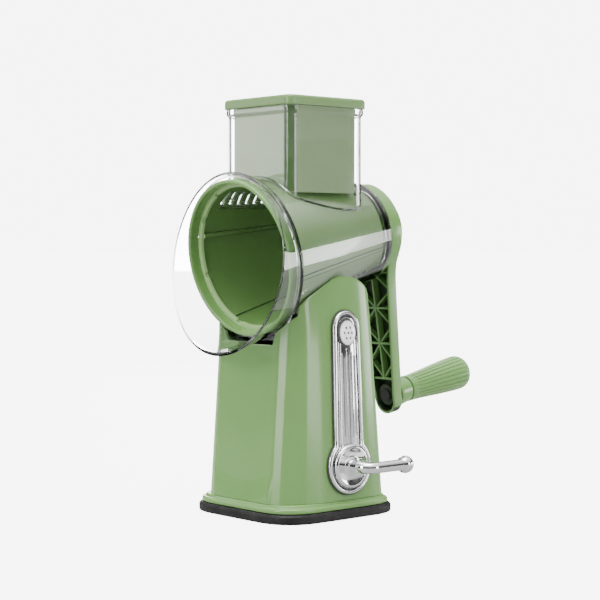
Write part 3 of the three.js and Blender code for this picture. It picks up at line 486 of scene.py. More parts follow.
def mouthRings(shares, inset, around=144):
    # from the collar's circle (share 0) to the slanted oval lip (share 1); the widening
    # 0.45 share + 0.55 share^2 grows towards the lip, whose sides stand back by bow cos^2
    top, bottom = np.array(barrel["lipTop"]), np.array(barrel["lipBottom"])
    middle, up = (top + bottom) / 2, (top - bottom) / 2
    length = np.linalg.norm(up)
    up = up / length
    a = np.linspace(0, 2 * np.pi, around, endpoint=False)
    tall = (length - inset) * np.sin(a)
    wide = (barrel["collar"] + barrel["lipFlare"] - inset) * np.cos(a)
    bow = barrel["lipBow"] * np.cos(a) ** 2
    lip = offAxis(np.stack([wide, middle[0] + tall * up[0] + bow, middle[1] + tall * up[1]], -1))
    root = 0.12  # the mouth's root lies this far within the collar's two faces
    radius = barrel["collar"] - root - inset * (1 - 2 * root / barrel["wall"])
    collar = np.stack([radius * np.cos(a), np.full(around, 2.0), radius * np.sin(a)], -1)
    share = np.asarray(shares)[:, None, None]
    widening = 0.45 * share + 0.55 * share ** 2
    mixed = collar + (lip - collar) * widening
    mixed[..., 1] = (collar + (lip - collar) * share)[..., 1]
    return mixed


def makeMouth():
    wall = barrel["wall"]
    shares = np.append(np.linspace(0, 0.9, 12), 0.985)
    outside = mouthRings(shares, 0)
    lip = np.concatenate([mouthRings([1.0], inset) for inset in (wall * 0.25, wall * 0.75)])
    inside = mouthRings(shares[::-1], wall)
    part = skin(np.concatenate([outside, lip, inside]), closeRings=True)
    return toMesh("mouth", [(onAxis(part[0]), part[1])], 50)


def makeBead():
    # a tube of one radius along the line where the chute's outside meets the barrel: over each
    # point of the chute's outline the height comes from x^2 + u^2 = r(s)^2
    b = barrel
    corners = np.array([[1, -1], [1, 1], [-1, 1], [-1, -1]], float) * b["chuteHalf"]
    ring = roundCorners(corners, b["chuteCorner"] * 1.12, 10)
    share = np.linspace(0, 1, 12)[1:-1, None]
    sides = [ring[k * 10 + 9] * (1 - share) + ring[(k * 10 + 10) % 40] * share for k in range(4)]
    line = np.vstack([np.vstack([ring[k * 10:k * 10 + 10], sides[k]]) for k in range(4)])
    # the sides bow outwards, by 1 - (y / half)^2
    line[:, 0] += np.sign(line[:, 0]) * b["beadBow"] * np.clip(1 - (line[:, 1] / b["chuteHalf"]) ** 2, 0, 1)
    middle = np.column_stack([line, heightOver(line, barrelOuter) + 0.3])
    ahead = np.roll(middle, -1, 0) - np.roll(middle, 1, 0)
    ahead = ahead / np.linalg.norm(ahead, axis=1, keepdims=True)
    side = np.cross(ahead, [0, 0, 1.0])
    side = side / np.linalg.norm(side, axis=1, keepdims=True)
    lift = np.cross(side, ahead)
    a = np.linspace(0, 2 * np.pi, 12, endpoint=False)[None, :, None]
    rings = middle[:, None] + b["bead"] * (side[:, None] * np.cos(a) + lift[:, None] * np.sin(a))
    return toMesh("bead", [skin(rings, closeRings=True)], 60)


def makeHousing():
    b = barrel
    wall, around = b["wall"], 144
    shoulder = b["collarDepth"] + 3
    outer = [(b["collar"], 0), (b["collar"], b["collarDepth"]), (barrelOuter(shoulder), shoulder),
             (barrelOuter(b["length"] - 1), b["length"] - 1), (barrelOuter(b["length"]) - 1, b["length"])]
    body = turnedPiece("housing", [(1, 0), *outer, (1, b["length"])], around, 1.2, closed=False)

    lipLow = b["chuteTop"] - b["chuteLipDepth"]
    up = softProfile([(0, 196), (0, lipLow - 1.4), (-b["chuteLip"], lipLow),
                      (-b["chuteLip"], b["chuteTop"]), (4, b["chuteTop"])], 0.7)
    chute = toMesh("chute", [skin(squareRings(up, b["chuteHalf"], b["chuteCorner"]))])
    foot = blockPiece("foot", (-b["footHalf"], b["footFront"], b["footBottom"]),
                      (b["footHalf"], b["footBack"], 186), 3)
    carve(body, chute, foot, makeBead(), operation="UNION")

    inner = [(b["collar"] - wall, -1), (b["collar"] - wall, b["collarDepth"] - wall),
             (barrelOuter(shoulder - wall) - wall, shoulder - wall),
             (barrelOuter(b["rearWall"]) - wall, b["rearWall"])]
    room = turnedPiece("room", [(1, -1), *inner, (1, b["rearWall"])], around, 1.0, closed=False)
    back = b["rearWall"] + b["rearWallThickness"]
    past = b["length"] + 2
    rear = [(1, back), (barrelOuter(back) - wall, back), (barrelOuter(past) - wall, past), (1, past)]
    rear = turnedPiece("rear", rear, around, 0, closed=False)
    bore = turnedPiece("bore", [(b["bore"], b["rearWall"] - 2), (b["bore"], past + 1)], 64, 0, closed=False)
    hollow = softProfile([(wall, 212), (wall, b["chuteTop"] + 1)], 0.5)
    throat = toMesh("throat", [skin(squareRings(hollow, b["chuteHalf"], b["chuteCorner"]))])
    carve(body, room, throat, rear, bore)
    footRoom = blockPiece("footRoom", (-b["footHalf"] + wall, b["footFront"] + wall, b["footBottom"] - 1),
                          (b["footHalf"] - wall, b["footBack"] - wall, 152), 1.5)
    cone = [(1, -5), (b["collar"], -5), (b["collar"], 7), (barrelOuter(8), 8), (barrelOuter(115), 115),
            (1, 115)]
    cone = turnedPiece("cone", cone, around, 0, closed=False)
    carve(footRoom, cone)
    carve(body, footRoom, sharp=32)
    carve(body, makeMouth(), operation="UNION", sharp=32)
    return settle(body, "clear", "stand", "clear_plastic", "housing")


def blockPiece(name, low, high, corner):
    # an upright block with rounded upright edges
    (x0, y0, z0), (x1, y1, z1) = low, high
    corners = np.array([[x1, y0], [x1, y1], [x0, y1], [x0, y0]], float)
    ring = roundCorners(corners, corner, 5)
    flat = np.concatenate([ring, np.zeros((len(ring), 1))], -1)
    return toMesh(name, [skin(np.stack([flat + [0, 0, z0], flat + [0, 0, z1]]))])


makeHousing()
print("stage: housing done")


# ---------- stand ----------
stand = {
    # height: corners (x, y) on the right, front face first
    "sections": {
        13.35: [(38.3, -52.7), (50, -35), (54.2, -20), (54.2, 34), (50, 44), (38.3, 53)],
        125: [(38, -44.6), (47.2, -30), (49.3, -16), (49.3, 29), (46, 37.5), (36, 44.8)],
        182: [(46, -46), (46.8, -30), (46.8, -14), (46.8, 26), (43, 33), (34, 39.7)],
    },
    # the front corner is cut back along the front face and along the next one
    "cut": (5.0, 4.4),
    "edgeRadii": [1.5, 1.5, 3.0, 5.0, 8.0, 6.0, 6.0],
    "crease": 27.0, "creaseRise": 9.0, "toe": 1.3,
    "wall": 2.6, "archPeak": (8, 177.6), "archFront": 148.0, "archRear": 160.0,
    "notchHalf": 29.7, "notchBottom": 128.0, "air": 0.5,
}


def towerPoints(columns, height):
    # where each column of the tower's wall stands at its own height: corners slide between the
    # three sections, then the outline's corners are rounded
    levels = sorted(stand["sections"])
    corners = np.array([stand["sections"][z] for z in levels], float)
    first, ahead = corners[:, :1], corners[:, 1:2] - corners[:, :1]
    ahead = ahead / np.linalg.norm(ahead, axis=-1, keepdims=True)
    inFront, beside = stand["cut"]
    corners = np.concatenate([first - [inFront, 0], first + ahead * beside, corners[:, 1:]], 1)
    mirrored = corners[:, ::-1] * [-1, 1]
    every = np.concatenate([corners, mirrored], 1)
    radii = np.array(stand["edgeRadii"] + stand["edgeRadii"][::-1], float)
    outlines = np.stack([roundCorners(level, radii, 7) for level in every])
    here, share = np.divmod(columns, 1.0)
    here = here.astype(int) % outlines.shape[1]
    ahead = (here + 1) % outlines.shape[1]
    along = outlines[:, here] * (1 - share)[None, :, None] + outlines[:, ahead] * share[None, :, None]
    # a smooth bend between the two tapers, in place of a kink
    z = np.asarray(height, float)
    low = np.clip((z - levels[0]) / (levels[1] - levels[0]), 0, None)
    first = along[0] + (along[1] - along[0]) * low[:, None]
    late = np.clip((z - levels[1] + 12) / (levels[2] - levels[1] + 12), 0, 1.2)[:, None]
    straight = along[1] + (along[1] - along[0]) * (levels[2] - levels[1]) / (levels[1] - levels[0])
    return first + (along[2] - straight) * late ** 2


def archHeight(y):
    # the top edge seen from the side: peak - fall share^2.2, forwards and backwards of the peak
    peakY, peakZ = stand["archPeak"]
    frontFall, rearFall = peakZ - stand["archFront"], peakZ - stand["archRear"]
    forward = np.clip((peakY - y) / (peakY + 50), 0, 1)
    backward = np.clip((y - peakY) / (40 - peakY), 0, 1)
    return peakZ - frontFall * forward ** 2.2 - rearFall * backward ** 2.2


def cradleHeight(flat):
    # height of the barrel's underside over points, collar and all, with some air round it
    def underside(s):
        return np.where(s < 9, barrel["collar"], barrelOuter(s)) + stand["air"]

    height = heightOver(flat, underside, -1, 150.0)
    return np.where(np.abs(flat[:, 0]) < barrel["collar"], height, 999)


def makeStand():
    steps = 7
    columns = []
    sideCount = 2 * len(stand["edgeRadii"])
    frontEnd = float(sideCount * steps - 1)
    frontHalf = abs(towerPoints(np.array([frontEnd]), [stand["notchBottom"]])[0, 0])
    for corner in range(sideCount):
        columns += (corner * steps + np.arange(steps)).tolist()
        last = corner * steps + steps - 1
        if corner == sideCount - 1:  # the front face, with columns at the notch's two sides
            edge = (frontHalf - stand["notchHalf"]) / (2 * frontHalf)
            sides = [edge - 0.004, edge + 0.004]
            across = [*sides, *np.linspace(edge + 0.05, 1 - edge - 0.05, 22), 1 - sides[1], 1 - sides[0]]
        else:
            across = np.linspace(0, 1, steps)[1:-1]
        columns += [last + f for f in across]
    columns = np.array(columns)
    flat = towerPoints(columns, np.full(len(columns), 150.0))
    for _ in range(4):
        top = np.minimum(archHeight(flat[:, 1]), cradleHeight(flat))
        notched = (flat[:, 1] < -30) & (np.abs(flat[:, 0]) < stand["notchHalf"])
        top = np.where(notched, stand["notchBottom"], top)
        flat = towerPoints(columns, top)
    bottom = min(stand["sections"])
    shares = np.concatenate([np.linspace(0, 0.2, 24), np.linspace(0.23, 0.97, 24), [0.985, 0.993]])
    rings = []
    for share in shares:
        z = bottom + (top - bottom) * share
        rings.append(np.column_stack([towerPoints(columns, z), z]))
    wall = stand["wall"]
    # over the rim and down inside it: in by inset, down by drop
    rim = ((0.25, 0.1), (0.8, 0.1), (wall - 0.8, 0.1), (wall - 0.25, 0.1), (wall, 0.8), (wall, 8))
    for inset, drop in rim:
        z = top - drop
        ring = towerPoints(columns, z)
        away = ring - [0, 0.5]
        length = np.linalg.norm(away, axis=1, keepdims=True)
        rings.append(np.column_stack([ring - away / length * inset, z]))
    shell = toMesh("stand_shell_skin", [skin(crease(np.stack(rings)), capStart=False, capEnd=False)], 28)
    return settle(shell, "green", "stand", "green_plastic", "stand_shell")


def crease(rings):
    # below a curved line, lowest in the middle of the front, the front face runs out into a toe:
    # toe (depth below the line / reach)^0.8
    x, y, z = rings[..., 0], rings[..., 1], rings[..., 2]
    line = stand["crease"] + stand["creaseRise"] * (x / 36) ** 2
    reach = stand["crease"] - min(stand["sections"])
    out = stand["toe"] * np.clip((line - z) / reach, 0, 1) ** 0.8
    front = smoothStep((34.5 - np.abs(x)) / 4) * (y < -30)
    moved = rings.copy()
    moved[..., 1] = y - out * front
    return moved


makeStand()
print("stage: stand done")


# ---------- base ----------
base = {"half": 60.0, "corner": 30.5, "padHeight": 7.0, "lip": 2.4, "top": 13.2}


def makeBase():
    h = base["padHeight"]
    rubber = softProfile([(6, 0), (0.8, 0), (0, 1.0), (0, h - 1.6), (1.4, h), (8, h)], 0.7)
    pad = toMesh("suction_pad_skin", [skin(squareRings(rubber, base["half"], base["corner"], 14))], 40)
    settle(pad, "rubber", "stand", "rubber", "suction_pad")
    rise = softProfile([(8, h + 0.4), (0.4, h + 0.4), (0, h + 1), (0, h + 3.0), (0.9, h + 4.0),
                        (2.6, h + 4.3), (3.0, h + 5.0), (3.2, base["top"] - 0.6), (4.2, base["top"]),
                        (16, base["top"])], 0.6)
    rings = squareRings(rise, base["half"] - base["lip"], base["corner"] - base["lip"], 14)
    plate = toMesh("base_plate_skin", [skin(rings)], 40)
    settle(plate, "green", "stand", "green_plastic", "base_plate")


makeBase()


# ---------- pusher ----------
pusher = {"half": 34.5, "chamfer": 6.0, "bottom": 239.0, "top": 302.0, "capHalf": 39.3, "capCorner": 6.0,
          "capBottom": 302.35, "capTop": 310.0, "drumRoom": 1.8}


def chamferedOutline(half, chamfer, columns):
    # a square with cut corners, walked at even shares of each side
    c = half - chamfer
    right = np.array([(half, -c), (half, c), (c, half), (-c, half)], float)
    corners = np.concatenate([right, -right])
    rounded = roundCorners(corners, 1.0, 4)
    here, share = np.divmod(columns, 1.0)
    here = here.astype(int)
    return rounded[here] * (1 - share)[:, None] + rounded[(here + 1) % len(rounded)] * share[:, None]


def makePusher():
    p = pusher
    sides = [np.append(np.arange(4), 3 + np.linspace(0, 1, 14)[1:-1]) + 4 * k for k in range(8)]
    outline = chamferedOutline(p["half"], p["chamfer"], np.concatenate(sides))

    def overDrum(flat):
        # the underside follows the drum, with some air between
        return np.maximum(heightOver(flat, lambda s: drumOuter(s) + p["drumRoom"]), p["bottom"])

    low = overDrum(outline)
    shares = (0.03, 0.2, 0.4, 0.6, 0.8, 0.985)
    rings = [np.column_stack([outline * share, overDrum(outline * share)]) for share in shares]
    rings.append(np.column_stack([outline, low + 0.6]))
    for share in np.linspace(0.05, 1, 8):
        rings.append(np.column_stack([outline, low + (p["top"] - low) * share]))
    points, faces = skin(np.stack(rings))
    body = toMesh("pusher_body_skin", [(points, faces)], 25)
    # the pusher takes the lighter green, painted light from the clear chute's reflection
    settle(body, "pusher", "pusher", "green_plastic", "pusher_body")

    def corners(at, normal):
        across, along, up = np.abs(normal).T
        return (across > 0.3) & (along > 0.3) & (up < 0.3)

    # painted shade: the pusher's cut corners get the darker green
    shadeFaces(body, "paintedShadeGreen", corners)
    low, high = p["capBottom"], p["capTop"]
    lid = softProfile([(5, low), (0.3, low), (0, low + 0.5), (0, high - 2.2), (0.9, high - 0.7),
                       (3.0, high - 0.25), (20, high)], 0.9, 5)
    cap = toMesh("pusher_cap_skin", [skin(squareRings(lid, p["capHalf"], p["capCorner"] + 1, 10))], 40)
    # the lid takes the darker green, painted shade on its sides
    settle(cap, "lid", "pusher", "green_plastic", "pusher_cap")


makePusher()
print("stage: base and pusher done")


# ---------- drum ----------
drum = {
    "wall": 2.6, "length": 108.0, "backWall": 3.5, "start": 3.4, "ringFront": -5.0, "ringWidth": 3.0,
    "ringRadius": 58.2, "bladeAngle": 125.0, "bladeHalf": 11.5, "bladeStart": 14.0, "bladeLength": 78.0,
    "sink": 0.9, "thickness": 0.7, "teeth": 11, "slant": 10.0, "slotHalf": 8.5, "slotShare": 0.36,
    "rise": 1.2,
    # degrees round the drum: middle, half width, depth
    "rails": [(163.0, 1.7, 2.2), (241.0, 0.8, 1.4), (343.0, 1.7, 2.2), (61.0, 0.8, 1.4)],
    # degrees round the drum: dark lines inside, painted shade along the rails' edges and seams; shallow seams
    # outside
    "lines": [344.0, 160.8, 165.2, 241.8, 340.8, 61.8],
    "seams": [344.0, 240.0, 164.0, 60.0],
    # degrees round the drum: middle, half width
    "notches": [(118, 1.5), (148, 2.2), (196, 1.5), (250, 2.2), (298, 1.5), (340, 2.2), (28, 1.5),
                (70, 2.2)],
}


def spin(points, degrees):
    # turns points about the drum's axis, in its own frame
    a = math.radians(degrees)
    x, y, z = points[..., 0], points[..., 1], points[..., 2]
    return np.stack([x * math.cos(a) - z * math.sin(a), y, x * math.sin(a) + z * math.cos(a)], -1)


def bladeWindow(angle, grow=0.3):
    half, y0 = drum["bladeHalf"] + grow, drum["bladeStart"] - grow
    y1 = y0 + drum["bladeLength"] + 2 * grow
    corners = np.array([[y0, -half], [y1, -half], [y1, half], [y0, half]], float)
    ring = roundCorners(corners, 1.2, 5)
    rings = np.stack([np.column_stack([np.full(len(ring), x), ring]) for x in (12, 80)])
    points, faces = skin(rings)
    return toMesh("window", [(onAxis(spin(points, angle)), faces)])


def makeBlade(index, angle):
    # a steel plate bent round the drum: radius(s) = drum - sink. In each pitch along it a slot
    # is open over the first part, and the plate stands up by rise at the slot's end, like a
    # louvre: (1 - share / 0.36)^2 behind it; rows lean by tan(slant) across the plate
    d = drum
    perTooth, across = 14, np.linspace(-d["bladeHalf"], d["bladeHalf"], 47)[None, :]
    rows = np.linspace(0, 1, d["teeth"] * perTooth + 1)[:, None]
    lean = math.tan(math.radians(d["slant"])) * (1 - np.abs(2 * rows - 1) ** 8)
    s = d["bladeStart"] + d["bladeLength"] * rows + across * lean
    share = (np.arange(len(rows)) % perTooth / perTooth)[:, None] - d["slotShare"]
    inRow = smoothStep((d["slotHalf"] + 0.8 - np.abs(across)) / 1.6)
    rise = np.where(share >= 0, np.clip(1 - share / 0.36, 0, 1) ** 2, np.clip(1 + share / 0.12, 0, 1) ** 2)
    radius = drumOuter(s) - d["sink"] + d["rise"] * rise * inRow
    a = np.radians(angle) + across / drumOuter(s)
    grid = np.stack([radius * np.cos(a), s + 0 * a, radius * np.sin(a)], -1)
    r, c = np.meshgrid(np.arange(grid.shape[0] - 1), np.arange(grid.shape[1] - 1), indexing="ij")
    width = grid.shape[1]
    inSlot = (r % perTooth < round(perTooth * d["slotShare"])) & (r % perTooth > 0)
    inSlot &= (np.abs(across[0, :-1] + across[0, 1:]) / 2 < d["slotHalf"])[c]
    first = (r * width + c)[~inSlot]
    quads = np.stack([first, first + 1, first + width + 1, first + width], -1)
    plate = toMesh(f"blade_{index}_skin", [(onAxis(grid.reshape(-1, 3)), [quads])], 60)
    thick = plate.modifiers.new("thickness", "SOLIDIFY")
    thick.thickness = d["thickness"] * mm
    thick.offset = 0
    return settle(plate, "blade", "rotor", "steel", f"blade_{index}")


def bump(angles, centre, half, edge=0.7):
    # 1 within half a width of a centre, in degrees round the drum, falling to 0 over the edge
    away = np.abs((angles - centre + 180) % 360 - 180)
    return smoothStep((half + edge - away) / edge)


def reliefPiece(name, profile, relief, rounding, around=720):
    # a closed profile turned round the drum's axis, its radius changed by relief(radius, s, angle)
    curve = roundCorners(np.asarray(profile, float), rounding, 4)
    a = np.linspace(0, 2 * np.pi, around, endpoint=False)[None, :]
    r, s = curve[:, :1], curve[:, 1:]
    radius = r + relief(r, s, np.degrees(a))
    rings = np.stack([radius * np.cos(a), s + 0 * a, radius * np.sin(a)], -1)
    points, faces = skin(rings, closeRings=True)
    return toMesh(name, [(onAxis(points), faces)])


def makeDrum():
    d = drum

    def inner(s):
        return drumOuter(s) - d["wall"]

    def panelEdges(r, s, angles):
        inside = (r < drumOuter(s) - d["wall"] * 0.6) & (s < back - 0.5)
        rails = sum(depth * bump(angles, at, half, 0.3) for at, half, depth in d["rails"])
        seams = sum(bump(angles, at, 0.25, 0.5) for at in d["seams"])
        cuts = sum(bump(angles, at, half) for at, half in d["notches"])
        lip = inside & (s < lipEnd + 0.1)
        outside = np.where(r > 30, -0.55 * seams, 0)
        return np.where(lip, 1.9 * cuts - 1.2, np.where(inside, -rails, outside))

    back = d["length"] - d["backWall"]
    lipEnd = d["start"] + 2.2
    profile = [(8, back), (inner(back), back), (inner(lipEnd + 0.4), lipEnd + 0.4), (inner(lipEnd), lipEnd),
               (inner(d["start"]), d["start"]), (drumOuter(d["start"]), d["start"]),
               (drumOuter(d["length"]), d["length"]), (8, d["length"])]
    shell = reliefPiece("drum_shell_skin", profile, panelEdges, 0.35)
    angles = [d["bladeAngle"] + 180 * k for k in range(2)]
    carve(shell, *[bladeWindow(angle) for angle in angles])
    settle(shell, "drum", "rotor", "green_plastic", "drum_shell")

    def inRoom(at, normal):
        s, radius = at[:, 1], np.hypot(at[:, 0], at[:, 2])
        return (radius < drumOuter(s) - 1.2) & (s < back + 0.2) & (s > lipEnd + 0.2)

    def inLines(at, normal):
        turn = np.degrees(np.arctan2(at[:, 2], at[:, 0]))[:, None] - np.array(d["lines"])
        near = (np.abs((turn + 180) % 360 - 180) < 0.4).any(axis=1)
        return near & (normal[:, 1] < 0.5) & (at[:, 1] > lipEnd + 0.2)

    # painted shade: the drum's inside, beyond its lip, gets the darker green
    shadeFaces(shell, "paintedShadeGreen", inRoom)
    # painted shade: thin dark lines along the rails' edges and the seams
    shadeFaces(shell, "channel", inLines)
    for k, angle in enumerate(angles):
        makeBlade(k + 1, angle)
    r, w, f = d["ringRadius"], d["ringWidth"], d["ringFront"]
    sleeve = drumOuter(d["start"]) - 0.1
    edge = [(r - w, d["start"]), (r - w, f + 0.8), (r - w + 0.7, f), (r - 0.7, f), (r, f + 0.8), (r, 0.6),
            (sleeve, 0.7), (sleeve, d["start"])]
    ring = turnedPiece("drum_ring_skin", edge, 192, 0.4)
    settle(ring, "green", "rotor", "green_plastic", "drum_ring")


makeDrum()
print("stage: drum done")


# ---------- crank ----------
crank = {
    "reach": 133.0, "headRadius": 36.0, "headFront": 119.5, "headWall": 2.5, "front": 125.0, "back": 134.5,
    "wall": 2.0, "endRadius": 11.0, "tipDrop": 4.0, "topHalf": 22.0, "top": 20.0,
    # the lattice: how far below the axis its cross bars lie, and a bar's thickness and height
    "ribs": (34, 62.5, 91, 119.5), "rib": 1.5, "ribHeight": 6.0,
    "capRadius": 27.0, "capFront": 134.85, "capDepth": 9.0,
    "gripStart": 149.0, "gripLength": 68.3, "gripSmall": 10.4, "gripLarge": 13.8, "flutes": 24,
}


def armHalf(down):
    # half the arm's width at a depth below the crank's axis: a straight taper, and near the head
    # a flare 6 exp(-(depth - 20) / 7) that runs into its round
    c = crank
    taper = c["endRadius"] + (c["topHalf"] - c["endRadius"]) * (c["reach"] - down) / (c["reach"] - c["top"])
    return taper + 6 * np.exp(-(down - 20) / 7)


def armRing(inset, along):
    # the arm's outline at one depth: the taper, with a half round at the grip's end
    c = crank
    r = c["endRadius"] - inset
    a = np.linspace(np.pi, 2 * np.pi, 25)
    tip = np.column_stack([r * np.cos(a), -c["reach"] - c["tipDrop"] + r * np.sin(a)])
    down = np.linspace(c["reach"] - 1, c["top"] + 0.5, 40)
    right = np.column_stack([armHalf(down) - inset, -down])
    left = right[::-1] * [-1, 1]
    outline = np.vstack([tip, right, left])
    return np.column_stack([outline[:, 0], np.full(len(outline), along), outline[:, 1]])


def plateBetween(start, end, half, y0, y1):
    # a thin upright rib from one point of the arm to another
    start, end = np.array(start, float), np.array(end, float)
    along = (end - start) / np.linalg.norm(end - start)
    side = np.array([-along[1], along[0]]) * half
    ring = np.array([start + side, end + side, end - side, start - side])
    rings = [np.column_stack([ring[:, 0], np.full(4, y), ring[:, 1]]) for y in (y0, y1)]
    points, faces = skin(np.stack(rings))
    return onAxis(points), faces


def makeCrank():
    c = crank
    web = c["back"] - c["wall"]
    steps = [(1.6, c["back"]), (0.5, c["back"] - 0.4), (0, c["back"] - 1.5), (0, c["front"] + 0.5),
             (0.5, c["front"]), (c["wall"] - 0.4, c["front"]), (c["wall"], c["front"] + 0.6),
             (c["wall"], web)]
    points, faces = skin(np.stack([armRing(i, s) for i, s in steps]), fanned=False)
    arm = (onAxis(points), faces)
    ribs = []
    floor = web - c["ribHeight"]
    marks = c["ribs"]
    for u in marks:
        half = armHalf(u) - 1
        ribs.append(plateBetween((-half, -u), (half, -u), c["rib"] / 2, floor, web + 0.5))
    ribs.append(plateBetween((0, -28), (0, -marks[-1]), c["rib"] / 2, floor + 0.4, web + 0.5))
    for u0, u1 in zip(marks[:-1], marks[1:]):
        middle = (u0 + u1) / 2
        for side in (-1, 1):
            wallEnd = (side * (armHalf(middle) - 1), -middle)
            for u in (u0, u1):
                ribs.append(plateBetween(wallEnd, (0, -u), c["rib"] / 2.2, floor + 1, web + 0.5))
    body = toMesh("crank_arm_skin", [arm], 30)
    r, w = c["headRadius"], c["headWall"]
    head = [(0.5, c["back"] - 1), (r - 2.5, c["back"] - 1), (r, c["back"] - 4), (r, c["headFront"] + 1),
            (r - 0.8, c["headFront"]), (r - w, c["headFront"]), (r - w, web - 1), (0.5, web - 1)]
    head = turnedPiece("head", head, 128, 1.0, closed=False)
    carve(body, head, operation="UNION")
    near, far = c["front"] + 2.5, web + 0.5
    boss = turnedPiece("boss", [(6.0, near), (8.4, near), (8.4, far), (6.0, far)], 48, 0.4, at=(0, -c["reach"]))
    carve(body, boss, operation="UNION")
    lattice = toMesh("crank_lattice", ribs, 30)
    settle(lattice, "green", "rotor", "green_plastic")
    settle(body, "green", "rotor", "green_plastic", "crank_arm")
    shadeChannel(body)
    front, deep, r = c["capFront"], c["capDepth"], c["capRadius"]
    back = front + deep
    cap = [(0.2, front), (r, front), (r, back - 3.6), (r - 3.4, back - 0.4), (0.2, back)]
    cap = turnedPiece("crank_cap_skin", cap, 96, 1.6, closed=False)
    settle(cap, "green", "rotor", "green_plastic", "crank_cap")


def shadeChannel(arm):
    # the inside of the channel is painted darker as shade, and rougher: faces deeper than its edge, within its
    # walls
    c = crank

    def chosen(local, normal):
        down = -local[:, 2]
        inArm = (down > 27) & (down < c["reach"]) & (np.abs(local[:, 0]) < armHalf(down) - c["wall"] + 0.2)
        deep = (local[:, 1] > c["front"] + 0.7) & (local[:, 1] < c["back"] - c["wall"] + 0.3)
        inside = c["endRadius"] - c["wall"] + 0.2
        lowest = c["reach"] + c["tipDrop"] + inside
        inEnd = (np.abs(local[:, 0]) < inside) & (down > c["reach"] - 1) & (down < lowest)
        return (inArm | inEnd) & deep & (normal[:, 1] < 0.5)

    shadeFaces(arm, "channel", chosen)


def makeGrip():
    # radius along the grip: a gentle swell, then a rounded end; narrow flutes take off
    # 0.75 (half of 1 - cos(n a))^6, fading out at both ends
    c = crank
    start, length = c["gripStart"], c["gripLength"]
    t = np.concatenate([np.linspace(0, 0.86, 60), 0.86 + 0.14 * np.sin(np.linspace(0, np.pi / 2, 26))[1:]])
    swell = c["gripSmall"] + (c["gripLarge"] - c["gripSmall"]) * smoothStep(t * 1.15) ** 0.9
    tail = np.clip((t - 0.86) / 0.14, 0, 1)
    radius = swell * np.sqrt(np.clip(1 - tail ** 2.4, 0, None))
    radius[-1] = 0.05
    a = np.linspace(0, 2 * np.pi, 24 * 12, endpoint=False)
    fade = smoothStep((t - 0.05) / 0.05) * smoothStep((0.93 - t) / 0.05)
    depth = 0.75 * (0.5 - 0.5 * np.cos(a * c["flutes"])) ** 6
    r = radius[:, None] - fade[:, None] * depth[None, :]
    s = start + t * length
    rings = np.stack([r * np.cos(a), s[:, None] + 0 * a, r * np.sin(a) - c["reach"]], -1)
    points, faces = skin(rings)
    grip = toMesh("grip_skin", [(onAxis(points), faces)], 40)
    settle(grip, "green", "hand_grip", "green_plastic", "grip")
    # a nearly black disc down in the boss's hole, painted shade at the socket's bottom
    near, far = c["front"] + 2.2, c["front"] + 3.4
    socket = turnedPiece("crank_socket_shade", [(0.1, near), (6.2, near), (6.2, far), (0.1, far)],
                         48, 0.3, closed=False, at=(0, -c["reach"]))
    settle(socket, "channel", "rotor", "black_plastic")
    front = c["back"] + 0.35
    collar = [(3.4, front), (11.5, front), (11.2, front + 4), (10.0, start - 1.2), (9.4, start - 0.4),
              (3.4, start - 0.4)]
    collar = turnedPiece("grip_collar_skin", collar, 64, 0.8, at=(0, -c["reach"]))
    settle(collar, "green", "rotor", "green_plastic", "grip_collar")


makeCrank()
makeGrip()
print("stage: crank done")


# ---------- trim, button and lever ----------
leverPoint = np.array(joints["lever_turn"]["pos_m"]) / mm
trim = {"top": 152.5, "halfTop": 12.8, "ring": 20.8, "rim": 3.0, "inlay": 1.8, "gap": 0.35,
        # each rib: across, half its width, lowest and highest point
        "ribs": ((-5.2, 0.5, 60, 121), (0, 0.8, 53, 124), (3.6, 0.5, 59, 122), (6.8, 0.45, 61, 119)),
        "buttonZ": 136.0, "buttonHalf": (7.4, 9.0), "proud": 2.6, "dial": 16.3}


def sideX(z):
    # how far out the tower's right side stands at a height, along the line of its lower taper
    z0, z1 = sorted(stand["sections"])[:2]
    x0, x1 = stand["sections"][z0][2][0], stand["sections"][z1][2][0]
    return x0 + (x1 - x0) * (z - z0) / (z1 - z0)


sideOrigin = np.array([sideX(leverPoint[2]), leverPoint[1], leverPoint[2]])
sideUp = np.array([sideX(trim["top"]) - sideX(leverPoint[2]), 0, trim["top"] - leverPoint[2]])
sideUp = sideUp / np.linalg.norm(sideUp)
sideOut = np.array([sideUp[2], 0, -sideUp[0]])


def onSide(local):
    # from (out, across, up) on the tower's sloping side to the row's frame
    local = np.asarray(local, float)
    return sideOrigin + local[..., :1] * sideOut + local[..., 1:2] * [0, 1, 0] + local[..., 2:] * sideUp


def keyholeRing(inset, out):
    # a ring round the dial, two straight sides and a half round at the top
    r, half = trim["ring"] - inset, trim["halfTop"] - inset
    rise = trim["top"] - leverPoint[2] - trim["halfTop"]
    lean = math.acos(half / r) * 0.9
    a = np.linspace(np.pi - lean, 2 * np.pi + lean, 90)
    ring = np.column_stack([r * np.cos(a), r * np.sin(a)])
    b = np.linspace(0, np.pi, 48)
    top = np.column_stack([half * np.cos(b), rise + half * np.sin(b)])
    right = ring[-1] + (top[0] - ring[-1]) * np.linspace(0, 1, 20)[1:-1, None]
    left = top[-1] + (ring[0] - top[-1]) * np.linspace(0, 1, 20)[1:-1, None]
    outline = np.vstack([ring, right, top, left])
    return np.column_stack([np.full(len(outline), out), outline])


